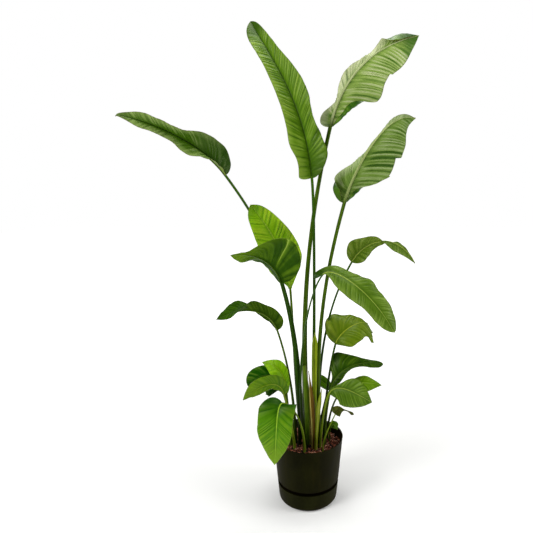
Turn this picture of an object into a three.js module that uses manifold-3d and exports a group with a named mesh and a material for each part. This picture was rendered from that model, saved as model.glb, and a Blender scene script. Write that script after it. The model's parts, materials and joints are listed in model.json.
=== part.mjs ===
// A giant bird of paradise grown for its leaves, in a plain dark planter with a separate water tray.
// Millimetres, +Z up. The origin is the middle of the tray's flat underside, and the viewer stands on -Y.

import * as THREE from "three";
import { mergeVertices } from "three/addons/utils/BufferGeometryUtils.js";
import Module from "manifold-3d";

const wasm = await Module();
wasm.setup();

// Planter and tray
const PLANTER_HEIGHT = 278;
const RIM_RADIUS = 147.5;
const WALL = 3;
const GROOVE_TOP = 94;
const GROOVE_TOP_RADIUS = 131;
const NECK_RADIUS = 123;
const NECK_FOOT_RADIUS = 114;
const TRAY_TOP = 76;
const TRAY_TOP_RADIUS = 129.5;
const TRAY_SIDE_RADIUS = 124;
const TRAY_ROUND = 18;
const TRAY_FLOOR = 4;
const SEAT_GAP = 0.3;
const ROUND_SEGMENTS = 48;
const DRAIN_RADIUS = 5;
const DRAIN_CIRCLE = 70;
const DRAIN_COUNT = 4;

// Soil
const SOIL_EDGE_LEVEL = 234;
const SOIL_MOUND = 14;
const SOIL_ROUGHNESS = 2.5;
const SOIL_RINGS = 9;
const HOLE_FLOOR = 190;
const HOLE_CLEARANCE = 0.35;
const BEND_LEVEL = 260;

// Leaf build
const STALK_SIDES = 8;
const STALK_RINGS = 8;
const BLADE_THICKNESS = 1.2;
const COLUMNS = [0.38, 0.72, 1];
const LOBE_END = 0.3;
const TEAR_HALF_WIDTH = 0.02;
const RIB_LEAD = 0.35;

const deg = THREE.MathUtils.degToRad;
const lerp = THREE.MathUtils.lerp;
const vec = (list) => new THREE.Vector3(...list);

const finish = (color, roughness) => new THREE.MeshStandardMaterial({ color, roughness, metalness: 0 });

const FINISHES = {
  planter: finish(0x1c1d14, 0.55),
  tray: finish(0x191a12, 0.55),
  soil: finish(0x6b3526, 0.95),
  green: finish(0x3f7d1e, 0.4),
  dark: finish(0x1f4a1c, 0.35),
  bright: finish(0x7cb518, 0.45),
  dry: finish(0x7a7433, 0.7),
  spear: finish(0x9aa03a, 0.5),
};

// Each leaf is one curve from the soil to the joint, where the blade starts, and one along the midrib.
// foot: where the stalk leaves the soil. knee and neck: what the stalk bends towards on its way up.
// bend and tip: what the midrib bends towards, and where it ends. lead: how straight it leaves the joint.
// looks: the way that the blade's upper side faces at the joint. twist: turn to the tip, in degrees.
// girth: the stalk's thickness at the soil and at the joint.
// left and right: a half's width, its slope beside the rib and its slope at the edge, in degrees, each
// at places spaced evenly from the joint to the tip. A slope less than zero curls under.
// round: share of the blade that its round base takes. blunt: how late it narrows to the tip.
// wave: height and number of the waves along the edge. lobe: reach of each half back past the joint.
// tears: splits along a side vein, each with its side, its place along the rib and its depth.
const LEAVES = [
  {
    name: "leaf_top",
    finish: "green",
    foot: [24, 16],
    knee: [24, 30, 700],
    neck: [30, 2, 1180],
    joint: [15, -5, 1350],
    bend: [-112, 110, 1860],
    tip: [-252, 195, 1985],
    looks: [-0.2, -1, 0.2],
    girth: [18, 11],
    left: [[66, 68, 66], [30, 35, 30], [0, 10, 20]],
    right: [[90, 68, 46], [35, 42, 35], [10, 15, 25]],
    round: 0.1,
    blunt: 4,
    wave: [5, 3],
    lobe: [12, 4],
    rings: 14,
  },
  {
    name: "leaf_upper_right",
    finish: "green",
    foot: [-2, -8],
    knee: [-24, 0, 700],
    neck: [-27, 50, 1045],
    joint: [86, 35, 1545],
    bend: [215, -80, 1800],
    tip: [372, -175, 1815],
    looks: [0.15, 1, 0.1],
    girth: [30, 15],
    left: [[45, 90, 130, 118, 95], [5, 5, 5, 5, 5], [-70, -40, -5, -10, -20]],
    right: [[95, 80, 75, 60, 50], [40, 80, 84, 78, 70], [0, 78, 80, 72, 60]],
    round: 0.3,
    wave: [6, 3],
    lobe: [0, 20],
    rings: 14,
  },
  {
    name: "leaf_right",
    finish: "green",
    foot: [46, -2],
    knee: [36, 2, 600],
    neck: [38, -6, 870],
    joint: [140, -30, 1255],
    bend: [262, -90, 1610],
    tip: [375, -150, 1550],
    looks: [0.15, 1, 0.1],
    girth: [20, 14],
    left: [[30, 85, 130, 115, 95], [5, 5, 5, 5, 5], [-50, -20, -5, -5, -10]],
    right: [[95, 80, 70, 55, 45], [35, 75, 80, 80, 80], [0, 68, 78, 80, 80]],
    round: 0.3,
    blunt: 3.2,
    wave: [6, 3],
    lobe: [0, 20],
    rings: 14,
  },
  {
    name: "leaf_far_left",
    finish: "dark",
    foot: [-26, 22],
    knee: [-30, 30, 750],
    neck: [-100, 60, 1040],
    joint: [-320, 0, 1360],
    bend: [-560, -120, 1560],
    tip: [-690, -130, 1570],
    looks: [0.1, -0.8, 0.7],
    girth: [18, 11],
    left: [[15, 45, 75, 60, 40], [95, 60, 5, 15, 30], [80, 40, -10, 0, 0]],
    right: [[95, 85, 70, 58, 55], [5, 25, 80, 55, 15], [-20, 0, 75, 40, -10]],
    round: 0.2,
    wave: [5, 2],
    lobe: [0, 10],
    rings: 14,
  },
  {
    name: "leaf_back_bright",
    finish: "bright",
    foot: [-30, 48],
    knee: [-60, 52, 520],
    neck: [-62, 72, 750],
    joint: [-75, 80, 895],
    bend: [-165, 80, 1165],
    tip: [-245, 140, 1240],
    looks: [0.1, -1, 0.3],
    girth: [16, 10],
    left: [[75, 80, 75], [25, 15, 25], [-10, -10, -10]],
    right: [[70, 70, 55], [25, 15, 25], [-10, -10, -10]],
    round: 0.26,
    wave: [5, 3],
    rings: 12,
  },
  {
    name: "leaf_torn",
    finish: "dark",
    foot: [-34, -22],
    knee: [-40, -28, 600],
    neck: [-62, -40, 780],
    joint: [-105, -60, 945],
    bend: [-195, -140, 1100],
    tip: [-270, -190, 1070],
    looks: [0.2, 0.85, 0.35],
    girth: [16, 10],
    left: [[95, 135, 140, 62, 30], [0, 5, 5, 15, 20], [-20, -15, -10, 0, 0]],
    right: [[40, 40, 30], [50, 50, 40], [30, 30, 20]],
    round: 0.2,
    wave: [4, 2],
    tears: [[-1, 0.4, 0.6]],
    rings: 12,
  },
  {
    name: "leaf_outer_right",
    finish: "green",
    foot: [48, 30],
    knee: [35, 58, 560],
    neck: [72, 84, 810],
    joint: [181, 66, 1010],
    bend: [335, -25, 1155],
    tip: [425, -50, 1025],
    looks: [-0.3, -0.7, 0.7],
    twist: 150,
    girth: [16, 9],
    left: [[58, 50, 25, 34, 38], [20, 30, 30, 30, 20], [0, 0, 0, 0, 0]],
    right: [[52, 45, 25, 34, 38], [20, 30, 30, 30, 20], [0, 0, 0, 0, 0]],
    round: 0.2,
    wave: [4, 2],
    rings: 13,
  },
  {
    name: "leaf_long_front",
    finish: "green",
    foot: [-10, -44],
    knee: [-62, -50, 560],
    neck: [-8, -78, 905],
    joint: [55, -90, 985],
    bend: [240, -235, 945],
    tip: [310, -250, 810],
    lead: 0.14,
    looks: [-0.2, -0.4, 0.9],
    girth: [15, 9],
    left: [[45, 78, 60], [20, 10, 0], [-20, -30, -40]],
    right: [[15, 28, 42], [20, 10, 0], [-20, -30, -50]],
    round: 0.35,
    blunt: 4.5,
    wave: [6, 3],
    lobe: [55, 0],
    rings: 14,
  },
  {
    name: "leaf_narrow_left",
    finish: "dark",
    foot: [-52, -8],
    knee: [-58, 14, 480],
    neck: [-95, -8, 650],
    joint: [-125, -20, 745],
    bend: [-240, -75, 870],
    tip: [-345, -110, 820],
    looks: [0.2, 0.8, 0.5],
    twist: -60,
    girth: [15, 9],
    left: [[70, 64, 56, 55, 45], [20, 25, 25, 20, 20], [-10, -10, -10, -10, -10]],
    right: [[15, 20, 32, 50, 45], [20, 25, 25, 20, 20], [-10, -10, -10, -10, -10]],
    round: 0.2,
    wave: [4, 2],
    rings: 12,
  },
  {
    name: "leaf_mid_right",
    finish: "green",
    foot: [68, 8],
    knee: [70, 30, 430],
    neck: [98, 42, 600],
    joint: [115, 28, 670],
    bend: [250, 80, 785],
    tip: [295, 120, 705],
    looks: [-0.3, -0.8, 0.5],
    girth: [14, 9],
    left: [[78, 46, 34], [20, 15, 5], [-10, -20, -10]],
    right: [[50, 75, 60], [20, 15, 5], [-10, -20, -10]],
    round: 0.2,
    blunt: 3.5,
    wave: [4, 2],
    tears: [[1, 0.8, 0.75], [-1, 0.88, 0.6]],
    rings: 11,
  },
  {
    name: "leaf_low_right_flat",
    finish: "dark",
    foot: [70, -16],
    knee: [70, -20, 350],
    neck: [82, -14, 430],
    joint: [92, -12, 480],
    bend: [195, 15, 630],
    tip: [315, 15, 580],
    looks: [-0.2, -0.6, 0.7],
    girth: [13, 9],
    left: [[55, 50, 32], [20, 15, 10], [-10, -20, -10]],
    right: [[50, 34, 32], [20, 15, 10], [-20, -20, -10]],
    round: 0.2,
    wave: [4, 2],
    rings: 11,
  },
  {
    name: "leaf_low_right_front",
    finish: "green",
    foot: [50, -40],
    knee: [58, -40, 360],
    neck: [70, -42, 450],
    joint: [86, -44, 482],
    bend: [195, -85, 500],
    tip: [250, -130, 485],
    looks: [-0.1, -0.7, 0.7],
    girth: [13, 9],
    left: [[25, 52, 48], [20, 15, 5], [-10, -20, -20]],
    right: [[40, 68, 55], [20, 15, 5], [-10, -20, -20]],
    round: 0.25,
    blunt: 3,
    wave: [3, 2],
    rings: 10,
  },
  {
    name: "leaf_low_right_back",
    finish: "bright",
    foot: [84, 38],
    knee: [88, 36, 340],
    neck: [105, 32, 410],
    joint: [135, 30, 450],
    bend: [240, 35, 505],
    tip: [310, 20, 490],
    looks: [0, -0.5, 0.8],
    girth: [12, 8],
    left: [[35, 38, 35], [20, 15, 5], [-10, -20, -20]],
    right: [[35, 38, 35], [20, 15, 5], [-10, -20, -20]],
    round: 0.25,
    wave: [3, 2],
    rings: 9,
  },
  {
    name: "leaf_low_left_back",
    finish: "bright",
    foot: [-70, -24],
    knee: [-76, -30, 360],
    neck: [-84, -34, 430],
    joint: [-88, -34, 480],
    bend: [-98, -36, 592],
    tip: [-196, 0, 574],
    looks: [0.2, -0.9, 0.4],
    girth: [13, 8],
    left: [[50, 46, 32], [35, 40, 20], [10, 10, -20]],
    right: [[46, 42, 30], [20, 15, 5], [-10, -20, -20]],
    round: 0.25,
    wave: [3, 2],
    rings: 9,
  },
  {
    name: "leaf_low_left_dark",
    finish: "dark",
    foot: [-58, 24],
    knee: [-72, 22, 360],
    neck: [-94, 20, 430],
    joint: [-106, 18, 485],
    bend: [-188, 30, 622],
    tip: [-224, 18, 552],
    looks: [0.2, -0.9, 0.4],
    girth: [13, 8],
    left: [[30, 34, 30], [20, 15, 5], [-10, -20, -20]],
    right: [[45, 48, 40], [20, 15, 5], [-10, -20, -20]],
    round: 0.25,
    wave: [3, 2],
    rings: 10,
  },
  {
    name: "leaf_low_left_front",
    finish: "green",
    foot: [-56, -50],
    knee: [-70, -58, 380],
    neck: [-88, -66, 450],
    joint: [-98, -72, 495],
    bend: [-170, -120, 570],
    tip: [-250, -160, 508],
    looks: [0.1, -0.6, 0.8],
    girth: [12, 8],
    left: [[40, 38, 28], [20, 15, 5], [-30, -30, -20]],
    right: [[26, 28, 26], [20, 15, 5], [-10, -20, -20]],
    round: 0.25,
    wave: [3, 2],
    rings: 9,
  },
  {
    name: "leaf_over_rim",
    finish: "bright",
    foot: [-14, -72],
    knee: [-18, -74, 380],
    neck: [-60, -105, 470],
    joint: [-98, -135, 478],
    bend: [-118, -215, 400],
    tip: [-130, -180, 250],
    lead: 0.15,
    looks: [-0.2, -0.5, 0.9],
    girth: [13, 9],
    left: [[70, 72, 60], [15, 12, 10], [-10, -10, -10]],
    right: [[75, 75, 60], [15, 12, 10], [-10, -10, -10]],
    round: 0.16,
    wave: [3, 2],
    lobe: [10, 10],
    rings: 11,
  },
  {
    name: "leaf_dry",
    finish: "dry",
    foot: [62, -60],
    knee: [66, -56, 300],
    neck: [96, -50, 360],
    joint: [112, -50, 395],
    bend: [150, -55, 425],
    tip: [190, -60, 390],
    looks: [-0.1, -0.6, 0.8],
    girth: [8, 5],
    left: [[18, 7, 15], [40, 40, 20], [10, 10, 10]],
    right: [[16, 7, 15], [30, 40, 20], [10, 10, 10]],
    round: 0.2,
    wave: [2, 2],
    rings: 8,
  },
  {
    name: "leaf_seedling",
    finish: "green",
    foot: [92, 4],
    knee: [92, 5, 280],
    neck: [94, 8, 292],
    joint: [98, 12, 302],
    bend: [112, 16, 330],
    tip: [126, 14, 292],
    looks: [-0.3, -0.8, 0.4],
    girth: [6, 4],
    left: [[16, 16, 14], [20, 15, 10], [-10, -10, -10]],
    right: [[16, 16, 14], [20, 15, 10], [-10, -10, -10]],
    round: 0.3,
    wave: [1, 2],
    rings: 6,
  },
  {
    name: "leaf_behind",
    finish: "green",
    foot: [44, 66],
    knee: [60, 76, 360],
    neck: [72, 78, 430],
    joint: [72, 80, 470],
    bend: [62, 88, 530],
    tip: [20, 96, 535],
    looks: [0, -1, 0.3],
    girth: [11, 7],
    left: [[28, 28, 24], [25, 15, 10], [-10, -10, -10]],
    right: [[28, 28, 24], [25, 15, 10], [-10, -10, -10]],
    round: 0.26,
    wave: [2, 2],
    rings: 8,
  },
];

// Rolled new leaf and the cut ends of old sheaths: thickness at the soil, at the widest and at the end.
const SHOOTS = [
  {
    name: "spear",
    finish: "spear",
    foot: [27, -26],
    knee: [27, -22, 430],
    neck: [24, -20, 620],
    tip: [36, -16, 735],
    girth: [17, 23, 3],
    widest: 0.72,
  },
  {
    name: "old_sheath",
    finish: "spear",
    foot: [34, -56],
    knee: [36, -52, 330],
    neck: [40, -48, 420],
    tip: [56, -46, 500],
    girth: [17, 15, 4],
    widest: 0.3,
  },
];

// A closed skin over a stack of rings with the same number of points. The ends close on a point or flat.
class Skin {
  constructor() {
    this.points = [];
    this.faces = [];
  }

  addPoint(point) {
    this.points.push(point);
    return this.points.length - 1;
  }

  addRing(points) {
    return points.map((point) => this.addPoint(point));
  }

  addFace(a, b, c) {
    this.faces.push([a, b, c]);
  }

  // Two triangles on the corners a, b, c, d, split from a to c.
  addPatch(a, b, c, d) {
    this.addFace(a, b, c);
    this.addFace(a, c, d);
  }

  joinRings(low, high) {
    for (let i = 0; i < low.length; i += 1) {
      const next = (i + 1) % low.length;
      this.addPatch(low[i], low[next], high[next], high[i]);
    }
  }

  closeOnPoint(ring, point, atStart) {
    const centre = this.addPoint(point);
    for (let i = 0; i < ring.length; i += 1) {
      const next = (i + 1) % ring.length;
      if (atStart) this.addFace(centre, ring[next], ring[i]);
      else this.addFace(centre, ring[i], ring[next]);
    }
  }

  geometry() {
    const geometry = new THREE.BufferGeometry();
    const numbers = this.points.flatMap((point) => [point.x, point.y, point.z]);
    geometry.setAttribute("position", new THREE.Float32BufferAttribute(numbers, 3));
    geometry.setIndex(this.faces.flat());
    return geometry;
  }
}

// Shared corners only, with the faces that shrink to a line left out.
function weld(geometry) {
  const bare = geometry.clone();
  bare.deleteAttribute("normal");
  bare.deleteAttribute("uv");
  const merged = mergeVertices(bare, 1e-3);
  const index = Array.from(merged.index.array);
  const kept = [];
  for (let i = 0; i < index.length; i += 3) {
    const [a, b, c] = index.slice(i, i + 3);
    if (a !== b && b !== c && c !== a) kept.push(a, b, c);
  }
  merged.setIndex(kept);
  return merged;
}

function solidOf(geometry) {
  const welded = weld(geometry);
  return new wasm.Manifold(
    new wasm.Mesh({
      numProp: 3,
      vertProperties: new Float32Array(welded.attributes.position.array),
      triVerts: new Uint32Array(welded.index.array),
    }),
  );
}

function geometryOf(solid) {
  const mesh = solid.getMesh();
  const geometry = new THREE.BufferGeometry();
  geometry.setAttribute("position", new THREE.BufferAttribute(new Float32Array(mesh.vertProperties), 3));
  geometry.setIndex(new THREE.BufferAttribute(new Uint32Array(mesh.triVerts), 1));
  return geometry;
}

// A round piece turned on the Z axis from radius and height pairs.
function turned(profile) {
  const points = profile.map(([radius, height]) => new THREE.Vector2(radius, height));
  const geometry = new THREE.LatheGeometry(points, ROUND_SEGMENTS);
  return geometry.rotateX(Math.PI / 2);
}

// Points of a quarter round from the underside to the side of the tray.
function trayCorner(radius, centreHeight, side) {
  const steps = 4;
  const corner = [];
  for (let i = 0; i <= steps; i += 1) {
    const angle = deg((90 * i) / steps);
    corner.push([side - radius + radius * Math.sin(angle), centreHeight - radius * Math.cos(angle)]);
  }
  return corner;
}

function waterTray() {
  const inside = TRAY_SIDE_RADIUS - WALL;
  return turned([
    [0, 0],
    ...trayCorner(TRAY_ROUND, TRAY_ROUND, TRAY_SIDE_RADIUS),
    [TRAY_TOP_RADIUS, TRAY_TOP],
    [TRAY_TOP_RADIUS - WALL, TRAY_TOP],
    ...trayCorner(TRAY_ROUND - WALL, TRAY_ROUND + TRAY_FLOOR - WALL, inside).reverse(),
    [0, TRAY_FLOOR],
  ]);
}

function planterInnerRadius(height) {
  const low = height < GROOVE_TOP;
  const bottom = TRAY_FLOOR + SEAT_GAP;
  const outer = low
    ? lerp(NECK_FOOT_RADIUS, NECK_RADIUS, (height - bottom) / (GROOVE_TOP - bottom))
    : lerp(NECK_RADIUS + WALL, RIM_RADIUS, (height - GROOVE_TOP) / (PLANTER_HEIGHT - GROOVE_TOP));
  return outer - WALL;
}

function planter() {
  const bottom = TRAY_FLOOR + SEAT_GAP;
  const floor = bottom + WALL;
  const shell = turned([
    [0, bottom],
    [NECK_FOOT_RADIUS - 8, bottom],
    [NECK_FOOT_RADIUS, bottom + 8],
    [NECK_RADIUS, GROOVE_TOP - 2],
    [GROOVE_TOP_RADIUS - 1, GROOVE_TOP - 2],
    [GROOVE_TOP_RADIUS, GROOVE_TOP],
    [RIM_RADIUS - 0.6, PLANTER_HEIGHT - 3],
    [RIM_RADIUS, PLANTER_HEIGHT - 1],
    [RIM_RADIUS - 1, PLANTER_HEIGHT],
    [RIM_RADIUS - WALL, PLANTER_HEIGHT],
    [RIM_RADIUS - WALL - 0.6, PLANTER_HEIGHT - 1],
    [planterInnerRadius(GROOVE_TOP), GROOVE_TOP],
    [planterInnerRadius(GROOVE_TOP - 0.01), GROOVE_TOP - 6],
    [NECK_FOOT_RADIUS - WALL, floor + 6],
    [NECK_FOOT_RADIUS - WALL - 6, floor],
    [0, floor],
  ]);
  let solid = solidOf(shell);
  for (let i = 0; i < DRAIN_COUNT; i += 1) {
    const angle = deg(45 + (360 * i) / DRAIN_COUNT);
    const drain = new THREE.CylinderGeometry(DRAIN_RADIUS, DRAIN_RADIUS, WALL * 4, 10);
    drain.rotateX(Math.PI / 2);
    drain.translate(DRAIN_CIRCLE * Math.cos(angle), DRAIN_CIRCLE * Math.sin(angle), bottom);
    solid = solid.subtract(solidOf(drain));
  }
  return geometryOf(solid);
}

// Low rounded lumps, where the chips lie.
function soilLevel(x, y, radius) {
  const mound = SOIL_MOUND * Math.exp(-((radius / 75) ** 2));
  const lumps =
    Math.sin(x / 9 + 1.7 * Math.sin(y / 14)) * Math.cos(y / 8 + 1.3 * Math.sin(x / 17)) +
    0.6 * Math.sin((x + y) / 6);
  return SOIL_EDGE_LEVEL + mound + SOIL_ROUGHNESS * lumps;
}

function soil(holes) {
  const floor = TRAY_FLOOR + SEAT_GAP + WALL + SEAT_GAP;
  const skin = new Skin();
  const around = (radius, heightAt) => {
    const ring = [];
    for (let i = 0; i < ROUND_SEGMENTS; i += 1) {
      const angle = (2 * Math.PI * i) / ROUND_SEGMENTS;
      const x = radius * Math.cos(angle);
      const y = radius * Math.sin(angle);
      ring.push(new THREE.Vector3(x, y, heightAt(x, y, radius)));
    }
    return skin.addRing(ring);
  };
  const footRadius = NECK_FOOT_RADIUS - WALL - 6 - SEAT_GAP;
  const lowRadius = NECK_FOOT_RADIUS - WALL - SEAT_GAP;
  const neckRadius = planterInnerRadius(GROOVE_TOP - 0.01) - SEAT_GAP;
  const shoulderRadius = planterInnerRadius(GROOVE_TOP) - SEAT_GAP;
  const topRadius = planterInnerRadius(SOIL_EDGE_LEVEL) - SEAT_GAP - 0.3;
  const edge = around(topRadius, () => SOIL_EDGE_LEVEL);
  const rings = [
    around(footRadius, () => floor),
    around(lowRadius, () => floor + 6),
    around(neckRadius, () => GROOVE_TOP - 6),
    around(shoulderRadius, () => GROOVE_TOP + 0.3),
    edge,
  ];
  for (let i = 1; i < SOIL_RINGS; i += 1) {
    rings.push(around(topRadius * (1 - i / SOIL_RINGS), soilLevel));
  }
  for (let i = 1; i < rings.length; i += 1) skin.joinRings(rings[i - 1], rings[i]);
  skin.closeOnPoint(rings[0], new THREE.Vector3(0, 0, floor), true);
  skin.closeOnPoint(rings.at(-1), new THREE.Vector3(0, 0, soilLevel(0, 0, 0)), false);
  let solid = solidOf(skin.geometry());
  for (const hole of holes) solid = solid.subtract(solidOf(hole));
  return geometryOf(solid);
}

// Frames along a curve: at each place the direction, the upper side and the right-hand side.
function framesAlong(places, start, upperSide) {
  const frames = new Array(places.length);
  const step = (from, to) => {
    const upper = frames[from].upper.clone();
    upper.addScaledVector(places[to].along, -upper.dot(places[to].along)).normalize();
    frames[to] = { ...places[to], upper };
  };
  const first = upperSide.clone();
  first.addScaledVector(places[start].along, -first.dot(places[start].along)).normalize();
  frames[start] = { ...places[start], upper: first };
  for (let i = start + 1; i < places.length; i += 1) step(i - 1, i);
  for (let i = start - 1; i >= 0; i -= 1) step(i + 1, i);
  for (const frame of frames) frame.right = frame.along.clone().cross(frame.upper);
  return frames;
}

// Points round a stalk, with a flat channelled upper side near the blade.
function stalkRing(frame, radius, channel) {
  const ring = [];
  for (let i = 0; i < STALK_SIDES; i += 1) {
    const angle = Math.PI - (2 * Math.PI * i) / STALK_SIDES;
    const rise = Math.sin(angle) > 0 ? Math.sin(angle) * (1 - channel) : Math.sin(angle);
    const point = frame.at.clone();
    point.addScaledVector(frame.right, radius * Math.cos(angle));
    point.addScaledVector(frame.upper, radius * rise);
    ring.push(point);
  }
  return ring;
}

// Distance out and up from the rib, on a half that slopes from one angle to another across its width.
function across(share, width, slopeAtRib, slopeAtEdge) {
  const turn = slopeAtEdge - slopeAtRib;
  const here = slopeAtRib + turn * share;
  if (Math.abs(turn) < 1e-3) {
    return { out: width * share * Math.cos(here), rise: width * share * Math.sin(here), slope: here };
  }
  return {
    out: (width / turn) * (Math.sin(here) - Math.sin(slopeAtRib)),
    rise: (width / turn) * (Math.cos(slopeAtRib) - Math.cos(here)),
    slope: here,
  };
}

// Half width at a place along the rib, as a share of the widest: round at the joint, slim at the tip.
function outline(leaf, s) {
  const base = s < leaf.round ? Math.sqrt(1 - (1 - s / leaf.round) ** 2) : 1;
  const end = s > 0.4 ? 1 - ((s - 0.4) / 0.6) ** (leaf.blunt ?? 2.4) : 1;
  return base * end;
}

// A value at a place along the rib, eased between values that are spaced evenly from joint to tip.
function along(values, s) {
  const place = s * (values.length - 1);
  const i = Math.min(Math.floor(place), values.length - 2);
  const t = place - i;
  const rise = (values[i + 1] - (values[i - 1] ?? values[i])) / 2;
  const next = ((values[i + 2] ?? values[i + 1]) - values[i]) / 2;
  const from = (1 + 2 * t) * (1 - t) ** 2 * values[i] + t * (1 - t) ** 2 * rise;
  return from + t ** 2 * (3 - 2 * t) * values[i + 1] + t ** 2 * (t - 1) * next;
}

// How much of the half's width is left beside a split.
function torn(leaf, side, s) {
  let share = 1;
  for (const [tornSide, place, depth] of leaf.tears ?? []) {
    const near = Math.abs(s - place) / TEAR_HALF_WIDTH;
    if (tornSide === side && near < 0.99) share = Math.min(share, 1 - depth);
  }
  return share;
}

// The upper points across the blade from the left edge to the right edge, and the lower ones back.
function bladeRing(leaf, frame, s) {
  const stalk = leaf.girth[1] / 2;
  const rib = Math.max(1.4, stalk * (1 - s) ** 0.7);
  const share = outline(leaf, s);
  const upper = [];
  const lower = [];
  const place = (side, column, drop) => {
    const index = side < 0 ? 0 : 1;
    const [half, fold, edge] = side < 0 ? leaf.left : leaf.right;
    const full = along(half, s) * share * torn(leaf, side, s);
    const width = Math.max(full, rib * 1.5) + rib * 0.3;
    const part = column === "rib" ? (rib * 0.8) / width : column;
    const slope = across(part, width, deg(along(fold, s)), deg(along(edge, s)));
    const ripple = Math.sin(2 * Math.PI * (leaf.wave[1] * s + 0.3 * index));
    const lift = leaf.wave[0] * share * part ** 2 * ripple;
    const back = (leaf.lobe?.[index] ?? 0) * part * share * Math.max(0, 1 - s / LOBE_END) ** 2;
    const depth = column === "rib" ? BLADE_THICKNESS + rib * 0.35 : BLADE_THICKNESS;
    const point = frame.at.clone();
    point.addScaledVector(frame.right, side * (slope.out + (drop ? depth * Math.sin(slope.slope) : 0)));
    point.addScaledVector(frame.upper, slope.rise + lift - (drop ? depth * Math.cos(slope.slope) : 0));
    point.addScaledVector(frame.along, -back);
    return point;
  };
  const columns = ["rib", ...COLUMNS];
  for (const column of [...columns].reverse()) upper.push(place(-1, column, false));
  upper.push(frame.at.clone().addScaledVector(frame.upper, -0.25 * rib));
  for (const column of columns) upper.push(place(1, column, false));
  for (const column of [...columns].reverse()) lower.push(place(1, column, true));
  lower.push(frame.at.clone().addScaledVector(frame.upper, -BLADE_THICKNESS - rib * 0.9));
  for (const column of columns) lower.push(place(-1, column, true));
  return { upper, lower };
}

// Joins a line of few points to a line of many, from end to end.
function joinLines(skin, few, many) {
  let i = 0;
  let j = 0;
  while (i < few.length - 1 || j < many.length - 1) {
    const fewNext = (i + 1) / (few.length - 1);
    const manyNext = (j + 1) / (many.length - 1);
    if (j === many.length - 1 || (i < few.length - 1 && fewNext < manyNext)) {
      skin.addFace(few[i], few[i + 1], many[j]);
      i += 1;
    } else {
      skin.addFace(few[i], many[j + 1], many[j]);
      j += 1;
    }
  }
}

// Joins one row of the blade to the next, split alike on both faces so that the two never cross.
function joinBladeRows(skin, low, high) {
  const last = low.upper.length - 1;
  for (let i = 0; i < last; i += 1) {
    skin.addPatch(low.upper[i], low.upper[i + 1], high.upper[i + 1], high.upper[i]);
    const [a, b] = [last - i, last - i - 1];
    skin.addFace(low.lower[b], low.lower[a], high.lower[b]);
    skin.addFace(low.lower[a], high.lower[a], high.lower[b]);
  }
  skin.addPatch(low.upper[last], low.lower[0], high.lower[0], high.upper[last]);
  skin.addPatch(low.lower[last], low.upper[0], high.upper[0], high.lower[last]);
}

// Places along the rib: closer near the joint and the tip, with extra rows at each split.
function bladePlaces(leaf) {
  const places = [0.012];
  for (let i = 1; i < leaf.rings; i += 1) {
    const even = i / leaf.rings;
    places.push(lerp(even, (1 - Math.cos(Math.PI * even)) / 2, 0.45));
  }
  for (const [, place] of leaf.tears ?? []) {
    const clear = places.filter((s) => Math.abs(s - place) > TEAR_HALF_WIDTH * 2.2);
    places.splice(0, places.length, ...clear);
    places.push(place - TEAR_HALF_WIDTH, place, place + TEAR_HALF_WIDTH);
  }
  return places.sort((a, b) => a - b);
}

// The straight foot in its hole, the stalk's curve, and the midrib's curve after the joint.
function leafSpine(leaf) {
  const foot = new THREE.Vector3(...leaf.foot, BEND_LEVEL);
  const joint = vec(leaf.joint);
  const neck = vec(leaf.neck);
  const tip = vec(leaf.tip);
  const stalk = new THREE.CubicBezierCurve3(foot, vec(leaf.knee), neck, joint);
  const straight = (leaf.lead ?? RIB_LEAD) * joint.distanceTo(tip);
  const lead = joint.clone().sub(neck).normalize().multiplyScalar(straight);
  const rib = new THREE.CubicBezierCurve3(joint, joint.clone().add(lead), vec(leaf.bend), tip);
  const places = [{ at: new THREE.Vector3(...leaf.foot, HOLE_FLOOR + SEAT_GAP), along: vec([0, 0, 1]) }];
  for (let i = 0; i <= STALK_RINGS; i += 1) {
    const u = i / STALK_RINGS;
    places.push({ at: stalk.getPointAt(u), along: i ? stalk.getTangentAt(u) : vec([0, 0, 1]) });
  }
  const start = places.length - 1;
  const rows = bladePlaces(leaf);
  for (const s of rows) places.push({ at: rib.getPointAt(s), along: rib.getTangentAt(s) });
  const frames = framesAlong(places, start, vec(leaf.looks));
  rows.forEach((s, i) => {
    const frame = frames[start + 1 + i];
    const turn = deg((leaf.twist ?? 0) * THREE.MathUtils.smoothstep(s, 0.3, 0.7));
    frame.upper.applyAxisAngle(frame.along, turn);
    frame.right.applyAxisAngle(frame.along, turn);
  });
  frames[0].upper.copy(frames[1].upper);
  frames[0].right.copy(frames[1].right);
  return { frames, start, rows, tip };
}

function leafSolid(leaf) {
  const { frames, start, rows, tip } = leafSpine(leaf);
  const skin = new Skin();
  const stalkRings = [];
  for (let i = 0; i <= start; i += 1) {
    const u = Math.max(0, (i - 1) / (start - 1));
    const sheath = (1 - u) ** 2;
    const radius = lerp(leaf.girth[1], leaf.girth[0], sheath) / 2;
    stalkRings.push(skin.addRing(stalkRing(frames[i], radius, i < 2 ? 0.1 : 0.1 + 0.7 * u)));
  }
  for (let i = 1; i < stalkRings.length; i += 1) skin.joinRings(stalkRings[i - 1], stalkRings[i]);
  skin.closeOnPoint(stalkRings[0], frames[0].at, true);
  const blade = rows.map((s, i) => {
    const ring = bladeRing(leaf, frames[start + 1 + i], s);
    return { upper: skin.addRing(ring.upper), lower: skin.addRing(ring.lower) };
  });
  joinStalkToBlade(skin, stalkRings[start], blade[0]);
  for (let i = 1; i < blade.length; i += 1) joinBladeRows(skin, blade[i - 1], blade[i]);
  const end = [...blade.at(-1).upper, ...blade.at(-1).lower];
  skin.closeOnPoint(end, tip, false);
  return skin.geometry();
}

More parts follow.
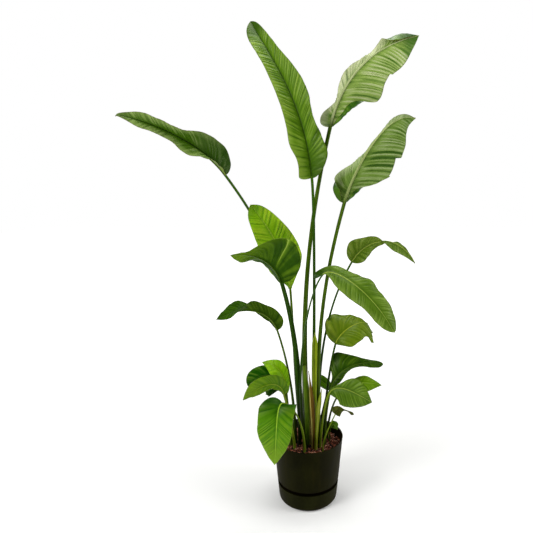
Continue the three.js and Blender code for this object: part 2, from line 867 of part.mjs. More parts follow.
// The stalk's upper points meet the blade's upper row, and its lower points the lower row.
function joinStalkToBlade(skin, ring, row) {
  const half = STALK_SIDES / 2;
  const upper = ring.slice(0, half + 1);
  const lower = [...ring.slice(half), ring[0]];
  joinLines(skin, upper, row.upper);
  joinLines(skin, lower, row.lower);
  skin.addFace(upper.at(-1), row.lower[0], row.upper.at(-1));
  skin.addFace(ring[0], row.upper[0], row.lower.at(-1));
}

function shootSolid(shoot) {
  const foot = new THREE.Vector3(...shoot.foot, BEND_LEVEL);
  const tip = vec(shoot.tip);
  const curve = new THREE.CubicBezierCurve3(foot, vec(shoot.knee), vec(shoot.neck), tip);
  const places = [{ at: new THREE.Vector3(...shoot.foot, HOLE_FLOOR + SEAT_GAP), along: vec([0, 0, 1]) }];
  const rings = 9;
  for (let i = 0; i <= rings; i += 1) {
    const u = i / rings;
    places.push({ at: curve.getPointAt(u), along: i ? curve.getTangentAt(u) : vec([0, 0, 1]) });
  }
  const frames = framesAlong(places, 0, vec([0, 1, 0]));
  const skin = new Skin();
  const radiusAt = (u) =>
    u < shoot.widest
      ? lerp(shoot.girth[0], shoot.girth[1], u / shoot.widest) / 2
      : lerp(shoot.girth[1], shoot.girth[2], ((u - shoot.widest) / (1 - shoot.widest)) ** 1.6) / 2;
  const stack = frames.map((frame, i) =>
    skin.addRing(stalkRing(frame, radiusAt(Math.max(0, (i - 1) / rings)), 0.1)),
  );
  for (let i = 1; i < stack.length; i += 1) skin.joinRings(stack[i - 1], stack[i]);
  skin.closeOnPoint(stack[0], frames[0].at, true);
  skin.closeOnPoint(stack.at(-1), tip.clone().addScaledVector(frames.at(-1).along, 2), false);
  return { geometry: skin.geometry(), frames };
}

// A plain hole in the soil for a stalk, the same shape as its straight foot and a little wider.
function holeFor(frame, girth) {
  const skin = new Skin();
  const low = { ...frame, at: frame.at.clone().setZ(HOLE_FLOOR) };
  const high = { ...frame, at: frame.at.clone().setZ(BEND_LEVEL + 20) };
  const radius = girth / 2 + HOLE_CLEARANCE;
  const bottom = skin.addRing(stalkRing(low, radius, 0.1));
  const top = skin.addRing(stalkRing(high, radius, 0.1));
  skin.joinRings(bottom, top);
  skin.closeOnPoint(bottom, low.at, true);
  skin.closeOnPoint(top, high.at, false);
  return skin.geometry();
}

const part = new THREE.Group();

function addPiece(name, geometry, finishName) {
  const mesh = new THREE.Mesh(geometry, FINISHES[finishName]);
  mesh.name = name;
  part.add(mesh);
}

const holes = [];
for (const leaf of LEAVES) {
  addPiece(leaf.name, leafSolid(leaf), leaf.finish);
  holes.push(holeFor(leafSpine(leaf).frames[1], leaf.girth[0]));
}
for (const shoot of SHOOTS) {
  const { geometry, frames } = shootSolid(shoot);
  addPiece(shoot.name, geometry, shoot.finish);
  holes.push(holeFor(frames[1], shoot.girth[0]));
}
addPiece("water_tray", weld(waterTray()), "tray");
addPiece("planter", planter(), "planter");
addPiece("soil", soil(holes), "soil");

export default part;
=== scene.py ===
# %% [markdown]
# A giant bird of paradise in a plain planter.
# The packed model already gives every leaf, the pot, the tray and the soil their true places.
# Here each of them gets the look of the real one: pleated leaves, channelled stalks, bark and matt plastic.
# All sizes in the tables are millimetres, because a plant is easier to read that way, and MM turns them
# into Blender's metres.

# %% Load the packed model
import json
import math

import bpy
import numpy as np
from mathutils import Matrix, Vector, noise

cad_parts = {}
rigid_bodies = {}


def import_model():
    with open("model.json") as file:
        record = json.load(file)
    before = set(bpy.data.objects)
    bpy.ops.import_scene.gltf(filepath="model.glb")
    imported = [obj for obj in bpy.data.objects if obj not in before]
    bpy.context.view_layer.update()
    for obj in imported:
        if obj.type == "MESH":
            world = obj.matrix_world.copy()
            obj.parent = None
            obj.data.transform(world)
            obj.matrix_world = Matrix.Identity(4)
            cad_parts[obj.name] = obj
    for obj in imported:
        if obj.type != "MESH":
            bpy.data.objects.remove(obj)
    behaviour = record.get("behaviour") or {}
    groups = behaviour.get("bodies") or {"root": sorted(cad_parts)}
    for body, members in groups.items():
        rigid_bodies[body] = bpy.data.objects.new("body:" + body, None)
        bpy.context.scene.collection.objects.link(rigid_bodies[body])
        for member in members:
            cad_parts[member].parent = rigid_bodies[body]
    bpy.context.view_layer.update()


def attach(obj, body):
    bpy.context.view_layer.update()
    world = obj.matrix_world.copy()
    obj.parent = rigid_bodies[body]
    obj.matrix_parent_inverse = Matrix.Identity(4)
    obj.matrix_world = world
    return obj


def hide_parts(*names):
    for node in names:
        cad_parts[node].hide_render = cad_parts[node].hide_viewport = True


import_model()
MM = 0.001

# %% [markdown]
# The camera comes first, so that every later look is judged through it.
# It stands at two thirds of the plant's height and looks slightly down, which is why the pot's rim shows
# as a narrow ellipse while the upper leaves are seen almost straight on.

# %% Camera
CAMERA_PLACE = (0.0, -1.86, 1.31)
CAMERA_DROP = 9.4
LENS, LENS_SHIFT = 31.8, -0.0779
camera_data = bpy.data.cameras.new("camera")
camera_data.sensor_width = 36
camera_data.lens = LENS
camera_data.shift_x = LENS_SHIFT
camera = bpy.data.objects.new("camera", camera_data)
camera.location = CAMERA_PLACE
camera.rotation_euler = (math.radians(90 - CAMERA_DROP), 0, 0)
bpy.context.scene.collection.objects.link(camera)
bpy.context.scene.camera = camera
print("camera at", CAMERA_PLACE)

# %% [markdown]
# The leaves are data. Each one has a stalk that bends from the soil to the joint, a midrib that bends from
# the joint to the tip, and two halves with their own widths and slopes.
# foot, knee, neck and joint steer the stalk. bend and tip steer the midrib.
# looks is the way the upper side faces at the joint. girth is the stalk's thickness at soil and joint.
# left and right hold a half's width, its slope by the rib and its slope at the edge, from joint to tip.
# round and blunt shape the base and the tip, wave is the long swing of the edge, lobe pulls the base back.
# Where round is a pair, the base's left and right side differ.
# lead is how far the midrib keeps the stalk's direction. twist turns the blade about its rib, in degrees.

# %% The leaves
LEAVES = {
    "leaf_top": {
        "finish": "green", "girth": [18, 11], "lead": 0.42,
        "foot": [24, 16], "knee": [24, 30, 700], "neck": [30, 2, 1180], "joint": [15, -5, 1350],
        "bend": [-158, 110, 1836], "tip": [-234, 192, 1981], "looks": [-0.2, -1, 0.2],
        "left": [[50, 46, 66, 60, 54, 52, 50, 46, 48, 54, 60], [30, 35, 30], [0, 10, 20]],
        "right": [[60, 84, 70, 60, 74, 74, 62, 48, 42, 38, 40], [35, 42, 35], [10, 15, 25]],
        "round": [0.03, 0.14], "blunt": 10, "wave": [5, 3], "lobe": [12, 4],
    },
    "leaf_upper_right": {
        "finish": "green", "girth": [30, 15],
        "foot": [-2, -8], "knee": [-24, 0, 700], "neck": [-27, 50, 1045], "joint": [86, 35, 1545],
        "bend": [205, -80, 1812], "tip": [372, -175, 1815], "looks": [0.15, 1, 0.1],
        "left": [
            [60, 84, 100, 120, 132, 126, 108, 96, 98, 100, 92],
            [5, 5, 5, 5, 5],
            [-70, -40, -5, -10, -20],
        ],
        "right": [
            [112, 80, 18, 27, 34, 30, 25, 29, 72, 86, 64],
            [40, 55, 50, 25, 15, 30, 55, 65, 60, 50, 40],
            [0, 30, 50, 20, 10, 35, 65, 65, 60, 50, 40],
        ],
        "round": 0.3, "wave": [6, 3], "lobe": [0, 20], "blunt": 5,
    },
    "leaf_right": {
        "finish": "green", "girth": [20, 14],
        "foot": [46, -2], "knee": [36, 2, 600], "neck": [38, -6, 870], "joint": [140, -30, 1255],
        "bend": [288, -90, 1600], "tip": [375, -150, 1550], "looks": [0.15, 1, 0.1],
        "left": [
            [40, 66, 76, 94, 120, 124, 118, 112, 108, 104, 90],
            [5, 5, 5, 5, 5],
            [-50, -20, -5, -5, -10],
        ],
        "right": [
            [120, 136, 76, 40, 28, 24, 20, 17, 20, 25, 22],
            [10, 10, 15, 25, 50, 78, 80, 75, 45, 20, 5],
            [-10, 0, 10, 25, 60, 78, 80, 75, 40, 10, -10],
        ],
        "round": 0.3, "blunt": 4, "wave": [6, 3], "lobe": [0, 20],
    },
    "leaf_far_left": {
        "finish": "dark", "girth": [18, 11],
        "foot": [-26, 22], "knee": [-30, 44, 750], "neck": [-100, 100, 1040], "joint": [-320, 0, 1360],
        "bend": [-560, -120, 1548], "tip": [-690, -130, 1570], "looks": [0.1, -0.8, 0.7],
        "left": [[15, 25, 42, 60, 48, 32, 30, 34, 42, 38, 34], [95, 60, 5, 15, 30], [80, 40, -10, 0, 0]],
        "right": [[74, 86, 80, 68, 56, 44, 40, 44, 50, 48, 44], [5, 25, 80, 55, 15], [-20, 0, 75, 40, -10]],
        "round": 0.2, "wave": [5, 2], "lobe": [0, 10],
    },
    "leaf_back_bright": {
        "finish": "bright", "girth": [16, 10],
        "foot": [-30, 48], "knee": [-60, 52, 520], "neck": [-62, 72, 750], "joint": [-75, 80, 895],
        "bend": [-157, 28, 1159], "tip": [-230, 14, 1251], "looks": [0.1, -1, 0.3],
        "left": [[18, 45, 66, 74, 78, 76, 71, 64, 56, 50, 44], [25, 15, 25], [-10, -10, -10]],
        "right": [[18, 36, 58, 76, 80, 77, 71, 62, 52, 44, 38], [25, 15, 25], [-10, -10, -10]],
        "round": 0.26, "wave": [5, 3], "blunt": 9,
    },
    "leaf_torn": {
        "finish": "dark", "girth": [16, 10],
        "foot": [-34, -22], "knee": [-40, -28, 600], "neck": [-62, -40, 780], "joint": [-105, -60, 945],
        "bend": [-195, -140, 1084], "tip": [-278, -190, 1074], "looks": [0.2, 0.85, 0.35],
        "left": [[80, 94, 112, 134, 150, 162, 137, 62, 24, 16, 16], [0, 5, 5, 10, 10], [-20, -15, -10, 0, 0]],
        "right": [[50, 48, 48, 50, 52, 54, 56, 56, 52, 46, 40], [50, 50, 28, 8, 0], [30, 30, 10, -5, -10]],
        "round": 0.2, "wave": [4, 2], "blunt": 7,
    },
    "leaf_outer_right": {
        "finish": "green", "girth": [16, 9],
        "foot": [48, 30], "knee": [35, 58, 560], "neck": [72, 84, 810], "joint": [181, 66, 1010],
        "bend": [335, -25, 1166], "tip": [422, -50, 1016], "looks": [-0.3, -0.7, 0.7], "twist": 150,
        "left": [[60, 64, 52, 38, 28, 20, 24, 36, 38, 36, 30], [20, 30, 30, 30, 20], [0, 0, 0, 0, 0]],
        "right": [[50, 54, 50, 40, 20, 10, 14, 18, 14, 10, 10], [20, 30, 30, 30, 20], [0, 0, 0, 0, 0]],
        "round": 0.2, "wave": [4, 2],
    },
    "leaf_long_front": {
        "finish": "green", "girth": [15, 9],
        "foot": [-10, -44], "knee": [-62, -50, 560], "neck": [-8, -78, 905], "joint": [55, -90, 985],
        "bend": [237, -224, 944], "tip": [308, -236, 800], "lead": 0.17, "looks": [-0.2, -0.4, 0.9],
        "left": [
            [60, 20, 26, 34, 36, 36, 38, 44, 52, 58, 60, 58, 54, 52, 50, 49, 48, 46, 46, 46, 46],
            [20, 10, 0], [-20, -30, -40],
        ],
        "right": [[12, 28, 44, 54, 54, 50, 46, 42, 38, 36, 34], [20, 10, 0], [-20, -30, -40]],
        "round": [0.02, 0.35], "blunt": 10, "wave": [6, 3], "lobe": [64, 0],
    },
    "leaf_narrow_left": {
        "finish": "dark", "girth": [15, 9],
        "foot": [-52, -8], "knee": [-58, 14, 480], "neck": [-95, -8, 650], "joint": [-125, -20, 745],
        "bend": [-240, -75, 870], "tip": [-353, -110, 814], "looks": [0.2, 0.8, 0.5], "twist": -60,
        "left": [[46, 48, 44, 64, 108, 86], [20, 26, 56, 44, 12], [-10, 0, 36, 10, -20]],
        "right": [[12, 18, 46, 96, 92], [20, 25, 40, 18, 8], [-10, -10, 15, -15, -25]],
        "round": 0.2, "wave": [4, 2],
    },
    "leaf_mid_right": {
        "finish": "green", "girth": [14, 9],
        "foot": [68, 8], "knee": [70, 30, 430], "neck": [98, 42, 600], "joint": [115, 28, 670],
        "bend": [244, 80, 788], "tip": [272, 118, 708], "looks": [-0.3, -0.8, 0.5],
        "left": [[56, 84, 94, 58, 34, 22, 20], [20, 15, 5], [-10, -20, -10]],
        "right": [[36, 66, 72, 74, 76, 76, 80, 108, 128, 180, 100], [20, 15, 5], [-10, -20, -10]],
        "round": 0.2, "blunt": 3.5, "wave": [4, 2],
    },
    "leaf_low_right_flat": {
        "finish": "dark", "girth": [13, 9],
        "foot": [70, -16], "knee": [70, -20, 350], "neck": [82, -14, 430], "joint": [92, -12, 480],
        "bend": [195, 15, 612], "tip": [315, 15, 586], "looks": [-0.2, -0.6, 0.7],
        "left": [[6, 6, 16, 60, 84, 60, 36, 20, 14, 12, 12], [20, 15, 10], [-10, -20, -10]],
        "right": [[10, 16, 24, 22, 16, 12, 12, 14, 20, 22, 24], [20, 15, 10], [-20, -20, -10]],
        "round": 0.2, "wave": [4, 2], "blunt": 14,
    },
    "leaf_low_right_front": {
        "finish": "green", "girth": [13, 9],
        "foot": [50, -40], "knee": [58, -40, 360], "neck": [70, -42, 450], "joint": [86, -44, 482],
        "bend": [195, -85, 500], "tip": [250, -130, 485], "looks": [-0.1, -0.7, 0.7],
        "left": [[6, 8, 10, 20, 38, 52, 56, 52, 46, 42, 38], [20, 15, 5], [-10, -20, -20]],
        "right": [[56, 62, 68, 66, 62, 55], [20, 15, 5], [-10, -20, -20]],
        "round": 0.25, "blunt": 3, "wave": [3, 2],
    },
    "leaf_low_right_back": {
        "finish": "bright", "girth": [12, 8],
        "foot": [84, 38], "knee": [88, 36, 340], "neck": [105, 32, 410], "joint": [135, 30, 450],
        "bend": [240, 35, 505], "tip": [310, 20, 490], "looks": [0, -0.5, 0.8],
        "left": [[8, 14, 30, 36, 32], [20, 15, 5], [-10, -20, -20]],
        "right": [[40, 44, 42], [20, 15, 5], [-10, -20, -20]],
        "round": 0.25, "wave": [3, 2],
    },
    "leaf_low_left_back": {
        "finish": "bright", "girth": [13, 8],
        "foot": [-70, -24], "knee": [-76, -30, 360], "neck": [-84, -34, 430], "joint": [-88, -34, 480],
        "bend": [-100, -36, 604], "tip": [-190, 0, 600], "looks": [0.2, -0.9, 0.4],
        "left": [[30, 44, 46, 40], [35, 40, 20], [10, 10, -20]],
        "right": [[14, 22, 36, 26], [20, 15, 5], [-10, -20, -20]],
        "round": 0.25, "wave": [3, 2],
    },
    "leaf_low_left_dark": {
        "finish": "dark", "girth": [13, 8],
        "foot": [-58, 24], "knee": [-72, 22, 360], "neck": [-94, 20, 430], "joint": [-106, 18, 485],
        "bend": [-196, 14, 570], "tip": [-250, -12, 500], "looks": [0.2, -0.9, 0.4],
        "left": [[72, 80, 82, 56, 40], [20, 15, 5], [-10, -20, -20]],
        "right": [[30, 36, 42, 40, 34], [20, 15, 5], [-10, -20, -20]],
        "round": [0.05, 0.25], "wave": [3, 2], "blunt": 7, "lobe": [24, 0],
    },
    "leaf_low_left_front": {
        "finish": "green", "girth": [12, 8],
        "foot": [-56, -50], "knee": [-70, -58, 380], "neck": [-88, -66, 450], "joint": [-98, -72, 495],
        "bend": [-170, -120, 570], "tip": [-250, -160, 508], "looks": [0.1, -0.6, 0.8],
        "left": [[12, 22, 30, 28], [20, 15, 5], [-30, -30, -20]],
        "right": [[30, 34, 40, 42, 40, 34], [20, 15, 5], [-10, -20, -20]],
        "round": 0.25, "wave": [3, 2], "blunt": 3.4,
    },
    "leaf_over_rim": {
        "finish": "bright", "girth": [13, 9],
        "foot": [-14, -72], "knee": [-18, -74, 380], "neck": [-60, -105, 470], "joint": [-98, -135, 484],
        "bend": [-118, -215, 400], "tip": [-130, -180, 250], "lead": 0.15, "looks": [-0.2, -0.5, 0.9],
        "left": [[70, 62, 60, 50, 42], [15, 12, 10], [-10, -10, -10]],
        "right": [[75, 76, 72, 62, 54], [15, 12, 10], [-10, -10, -10]],
        "round": 0.16, "wave": [3, 2], "lobe": [60, -14],
    },
    "leaf_dry": {
        "finish": "dry", "girth": [8, 5],
        "foot": [62, -60], "knee": [66, -56, 300], "neck": [96, -50, 360], "joint": [112, -50, 395],
        "bend": [150, -55, 425], "tip": [187, -60, 398], "looks": [-0.1, -0.6, 0.8],
        "left": [[26, 22, 3, 3, 10], [40, 40, 20], [10, 10, 10]],
        "right": [[24, 24, 3, 3, 14], [30, 40, 20], [10, 10, 10]],
        "round": 0.2, "wave": [2, 2], "blunt": 6,
    },
    "leaf_seedling": {
        "finish": "green", "girth": [6, 4],
        "foot": [92, 4], "knee": [92, 5, 280], "neck": [94, 8, 292], "joint": [98, 12, 302],
        "bend": [112, 16, 330], "tip": [126, 14, 292], "looks": [-0.3, -0.8, 0.4],
        "left": [[16, 16, 14], [20, 15, 10], [-10, -10, -10]],
        "right": [[16, 16, 14], [20, 15, 10], [-10, -10, -10]],
        "round": 0.3, "wave": [1, 2],
    },
    "leaf_behind": {
        "finish": "green", "girth": [11, 7],
        "foot": [44, 66], "knee": [64, 76, 350], "neck": [80, 78, 412], "joint": [84, 80, 442],
        "bend": [58, 90, 474], "tip": [18, 96, 512], "looks": [0, -1, 0.3],
        "left": [[20, 24, 20], [25, 15, 10], [-10, -10, -10]],
        "right": [[20, 24, 20], [25, 15, 10], [-10, -10, -10]],
        "round": 0.26, "wave": [2, 2],
    },
}
print(len(LEAVES), "leaves in the table")

# %% [markdown]
# Every curve of the plant is a cubic Bezier: four points that a gardener could point at.
# The curve is measured once, then read at even steps of length, so that nothing bunches up at a bend.

# %% Curves and the frames that ride on them
BEND_LEVEL = 260
HOLE_FLOOR = 190.3
RIB_LEAD = 0.35


def unit(rows):
    return rows / np.linalg.norm(rows, axis=-1, keepdims=True)


def length_along(line):
    return np.concatenate([[0], np.cumsum(np.linalg.norm(np.diff(line, axis=0), axis=1))])


def even_curve(corners, count):
    a, b, c, d = (np.array(corner, float) for corner in corners)
    t = np.linspace(0, 1, 1001)[:, None]
    line = (1 - t) ** 3 * a + 3 * (1 - t) ** 2 * t * b + 3 * (1 - t) * t**2 * c + t**3 * d
    pull = 3 * (1 - t) ** 2 * (b - a) + 6 * (1 - t) * t * (c - b) + 3 * t**2 * (d - c)
    length = length_along(line)
    even = np.linspace(0, length[-1], count)
    at = np.stack([np.interp(even, length, line[:, k]) for k in range(3)], 1)
    way = unit(np.stack([np.interp(even, length, pull[:, k]) for k in range(3)], 1))
    return at, way, length[-1]


def carry_side(way, side):
    carried = np.empty_like(way)
    for i, direction in enumerate(way):
        side = side - direction * side.dot(direction)
        side = side / np.linalg.norm(side)
        carried[i] = side
    return carried


def smooth(value, low, high):
    t = np.clip((value - low) / (high - low), 0, 1)
    return t * t * (3 - 2 * t)


def along(values, s):
    """A value along the rib, eased between values that are spaced evenly from joint to tip."""
    values = np.array(values, float)
    place = np.asarray(s, float) * (len(values) - 1)
    i = np.minimum(place.astype(int), len(values) - 2)
    t = place - i
    before = values[np.maximum(i - 1, 0)]
    after = values[np.minimum(i + 2, len(values) - 1)]
    start, end = values[i], values[i + 1]
    rise, fall = (end - before) / 2, (after - start) / 2
    return (
        (1 + 2 * t) * (1 - t) ** 2 * start
        + t * (1 - t) ** 2 * rise
        + t**2 * (3 - 2 * t) * end
        + t**2 * (t - 1) * fall
    )


print("a rib that starts at 0 and ends at 10 is", float(along([0, 10], 0.5)), "wide half way")

# %% [markdown]
# A leaf's spine is its stalk and its midrib with a side direction carried along both.
# The side is carried from the joint outwards without turning, as a ribbon would be, and then turned on
# purpose where the real blade twists. A curled tip is the same ribbon rolled round a small drum.

# %% The spine of a leaf
RIB_STEPS = 600
STALK_STEPS = 140


def turn_about(vectors, axes, angles):
    cos, sin = np.cos(angles)[:, None], np.sin(angles)[:, None]
    return vectors * cos + np.cross(axes, vectors) * sin


def leaf_spine(leaf):
    foot = [*leaf["foot"], BEND_LEVEL]
    joint, neck, tip = (np.array(leaf[key], float) for key in ("joint", "neck", "tip"))
    stalk_at, stalk_way, stalk_length = even_curve((foot, leaf["knee"], neck, joint), STALK_STEPS)
    reach = leaf.get("lead", RIB_LEAD) * np.linalg.norm(tip - joint)
    lead = joint + unit(joint - neck) * reach
    rib_at, rib_way, rib_length = even_curve((joint, lead, leaf["bend"], tip), RIB_STEPS)
    upper = carry_side(rib_way, np.array(leaf["looks"], float))
    stalk_upper = carry_side(stalk_way[::-1], upper[0])[::-1]
    s = np.linspace(0, 1, RIB_STEPS)
    curl, curl_from = leaf.get("curl", (0, 0.9))
    if curl:
        right = np.cross(rib_way, upper)
        angle = np.radians(curl) * smooth(s, curl_from, 1.0)
        rib_way, upper = turn_about(rib_way, right, -angle), turn_about(upper, right, -angle)
        step = np.linalg.norm(np.diff(rib_at, axis=0), axis=1)[:, None]
        rib_at = rib_at[0] + np.concatenate([[[0, 0, 0]], np.cumsum(rib_way[:-1] * step, axis=0)])
    turn = np.radians(leaf.get("twist", 0)) * smooth(s, 0.3, 0.7)
    upper = turn_about(upper, rib_way, turn)
    return {
        "at": rib_at, "way": rib_way, "upper": upper, "right": np.cross(rib_way, upper),
        "length": rib_length, "stalk_at": stalk_at, "stalk_way": stalk_way,
        "stalk_upper": stalk_upper, "stalk_length": stalk_length,
    }


def read_spine(rows, s):
    place = np.clip(s, 0, 1) * (len(rows) - 1)
    i = np.minimum(place.astype(int), len(rows) - 2)
    t = (place - i)[..., None]
    return rows[i] * (1 - t) + rows[i + 1] * t


print("the top leaf's blade is", round(leaf_spine(LEAVES["leaf_top"])["length"]), "mm long")

# %% [markdown]
# What the table leaves out is what makes each leaf itself: how deeply it pleats along its side veins,
# where its edge rolls, steps in or splits, and which single folds catch the light.
# pleat is height and spacing. rolls turn the outer edge: side, degrees from joint to tip, where it starts.
# creases are folds: side, place, depth, breadth. splits open along a vein: side, place, start, gap.
# strips are pieces of the edge that have gone: side, from, to, share lost at the first place and at the last.
# curl rolls the tip: degrees, from where.
# Side -1 is the left half of the table and +1 the right half.

# %% What each leaf's surface does
SURFACE = {
    "leaf_top": {"pleat": [1.8, 15], "ripple": 1.5, "creases": [[1, 0.14, 5, 16]]},
    "leaf_upper_right": {
        "pleat": [3.4, 17], "ripple": 2, "curl": [-30, 0.93],
        "rolls": [
            [-1, [-120, -160, -160, -120, -20, 0, 0, 0, 0, 0, 0], 0.56],
            [1, [0, 0, 0, 0, 0, 0, 0, -60, -150, -170, -160], 0.24],
        ],
        "strips": [[-1, 0.4, 0.7, 0.0, 0.09]],
    },
    "leaf_right": {
        "pleat": [3.4, 17], "ripple": 2, "curl": [-40, 0.95],
        "rolls": [
            [1, [-170, -165, -60, 0, 0, 0, 0, 0, 0, 0, 0], 0.44],
            [-1, [-150, -160, -80, 0, 0, 0, 0, 0, 0, 0, 0], 0.5],
        ],
        "strips": [[-1, 0.4, 0.62, 0.04, 0.16]],
        "creases": [[-1, 0.33, 4, 5], [-1, 0.4, 4, 5], [-1, 0.46, 3, 4]],
    },
    "leaf_far_left": {"pleat": [1.8, 18], "ripple": 2.5, "curl": [60, 0.94]},
    "leaf_back_bright": {"pleat": [2.4, 25], "ripple": 2, "curl": [-50, 0.92]},
    "leaf_torn": {
        "pleat": [1.8, 16], "ripple": 2.5, "splits": [[-1, 0.23, 0.86, 5]], "creases": [[-1, 0.23, -3, 2.2]],
    },
    "leaf_outer_right": {"pleat": [1.4, 13], "ripple": 3, "curl": [40, 0.78]},
    "leaf_long_front": {
        "pleat": [1.2, 14], "ripple": 1.5, "creases": [[-1, 0.3, 8, 14]],
        "rolls": [[-1, [-60, -30, 0, 0, 0, 0, 0, 0, 0, 0, 0], 0.5]], "curl": [-50, 0.95],
    },
    "leaf_narrow_left": {"pleat": [1.6, 15], "ripple": 2},
    "leaf_mid_right": {
        "pleat": [1.6, 14], "ripple": 2, "splits": [[1, 0.74, 0.3, 8], [-1, 0.8, 0.4, 6]],
        "strips": [[1, 0.45, 0.68, 0.0, 0.16], [1, 0.885, 1.0, 0.34, 0.0]],
    },
}
for name, leaf in LEAVES.items():
    leaf.update({"pleat": [1.2, 13], "ripple": 1.5})
    leaf.update(SURFACE.get(name, {}))
print(sum("splits" in leaf for leaf in LEAVES.values()), "leaves are torn")

# %% [markdown]
# A blade is a grid. One way it runs from the joint to the tip, the other way it runs out from the midrib.
# The rows don't cross the leaf straight: each one follows a side vein, which leaves the rib and leans
# towards the tip. A fold that follows a vein is then one row of points, so it stays crisp with few faces,
# and a leaf that tears, which it always does along a vein, opens between two rows.
# LOBE_END is how far a pulled back base reaches, VEIN_LEAN how much a vein leans, and FAN_END where the
# veins stop fanning out from the joint. ROLL_SPAN is the share of a half that a rolled edge turns over,
# STEP_SHARE how short the step is where a strip has gone, and SLICES how finely a bent half is added up.

# %% Widths, slopes and veins
LOBE_END = 0.3
VEIN_LEAN = 0.95
FAN_END = 0.25
ROLL_SPAN = 0.35
STEP_SHARE = 0.005
SLICES = 24


def rib_radius(leaf, s):
    return np.maximum(1.2, leaf["girth"][1] / 2 * (1 - s) ** 0.7)


def outline(leaf, side, s):
    """Share of the full width that the rounded base and the pointed tip leave at each place."""
    left_round, right_round = np.broadcast_to(leaf["round"], 2)
    rounded = left_round if side < 0 else right_round
    base = np.where(s < rounded, np.sqrt(np.clip(1 - (1 - s / rounded) ** 2, 0, 1)), 1)
    return base * (1 - np.clip((s - 0.4) / 0.6, 0, 1) ** leaf.get("blunt", 2.4))


def half_width(leaf, side, s):
    rib = rib_radius(leaf, s)
    full = along(leaf["left" if side < 0 else "right"][0], s) * outline(leaf, side, s)
    return np.maximum(full, rib * 1.5) + rib * 0.3


def share_kept(leaf, side, s):
    """How much of a half's width is left where strips of its edge have torn away."""
    kept = np.ones_like(s)
    for strip_side, start, end, first, last in leaf.get("strips", ()):
        if strip_side == side:
            within = smooth(s, start - STEP_SHARE, start + STEP_SHARE)
            within = within * smooth(s, end + STEP_SHARE, end - STEP_SHARE)
            kept = kept - within * (first + (last - first) * np.clip((s - start) / (end - start), 0, 1))
    return kept


def bent_out(part, width, by_rib, at_edge, roll, roll_from):
    """How far out and up a point lies on a half whose slope changes across it, and the slope there."""
    inner = part[..., None] * (np.arange(SLICES) + 0.5) / SLICES
    turn = at_edge - by_rib
    slope = by_rib[..., None] + turn[..., None] * inner
    slope = slope + roll[..., None] * smooth(inner, roll_from, roll_from + ROLL_SPAN)
    here = by_rib + turn * part + roll * smooth(part, roll_from, roll_from + ROLL_SPAN)
    return part * width * np.cos(slope).mean(-1), part * width * np.sin(slope).mean(-1), here


def vein_place(leaf, side, rows, share, length):
    """Where along the rib's length a vein is, once it has run out to a share of the half's width."""
    reach = VEIN_LEAN * share * half_width(leaf, side, rows) / length
    reach = reach * (0.15 + 0.85 * smooth(rows, 0, FAN_END)) * smooth(rows, 0, 0.02)
    left = np.maximum(1 - rows, 1e-6)
    return rows + left * (1 - np.exp(-reach / left))


middle_width = float(half_width(LEAVES["leaf_top"], -1, 0.5))
print("half way up the top leaf, its left half is", round(middle_width), "mm wide")

# %% [markdown]
# Between two side veins the blade swells into a soft ridge. No two ridges are quite alike, so a smooth random
# line shifts their beat and another their height. A split is a vein whose two lips have moved apart.
# SPLIT_REACH is how much of the leaf's length bends open beside it, and SPLIT_END where the lips would be
# fully apart.

# %% Pleats and splits
SPLIT_REACH, SPLIT_END = 0.035, 1.25


def unit_wander(rng, length, spacing):
    """A smooth random line between about -1 and 1, for what no two veins do alike."""
    waves = [(rng.uniform(0.5, 1.6) / spacing, rng.uniform(0, 2 * math.pi)) for _ in range(4)]
    return sum(np.sin(2 * math.pi * length * pace + start) for pace, start in waves) / 2.4


def pleat_ridge(leaf, start, rng):
    """How high on a pleat each row lies: below zero in a vein's furrow, above it on the swell between."""
    spacing = leaf["pleat"][1]
    beat = start / spacing + 0.45 * unit_wander(rng, start, 5 * spacing)
    return (1.7 * np.abs(np.sin(math.pi * beat)) - 1) * (0.7 + 0.3 * unit_wander(rng, start, 3 * spacing))


def split_open(leaf, side, rows, after, share):
    """How far the two lips of each split move apart, and how far they lift."""
    shift, lift = np.zeros_like(share), np.zeros_like(share)
    for split_side, place, start, gap in leaf.get("splits", ()):
        if split_side != side:
            continue
        lip = np.where((rows > place) | ((rows == place) & after), 1.0, -1.0)[:, None]
        near = np.exp(-np.abs(rows - place) / SPLIT_REACH)[:, None]
        opened = smooth(share, start, SPLIT_END) * near
        shift += lip * gap * opened
        lift += np.where(lip > 0, 0.9, -0.3) * gap * opened
    return shift, lift


print("the deepest pleats are", max(leaf["pleat"][0] for leaf in LEAVES.values()), "mm high")

# %% [markdown]
# One function lays out a half: it knows the slopes from the table, adds the pleats, the creases, the wave
# and the ripple of the edge, and opens the splits. It returns the points and what the colours need later:
# how far along the veins a point is, how far from the rib, how far from the edge, and how high on a pleat.
# CREASE_SHADE is how much painted shade a crease puts into the skin where it sinks, and how much painted
# highlight where it stands up.

# %% Lay out one half of a blade
RIB_COLUMNS = np.array([0, 0.35, 0.7, 1.0, 1.5])
WIDE_COLUMNS = 13
CREASE_SHADE = 9


def degrees_along(values, s):
    return np.radians(along(values, s))


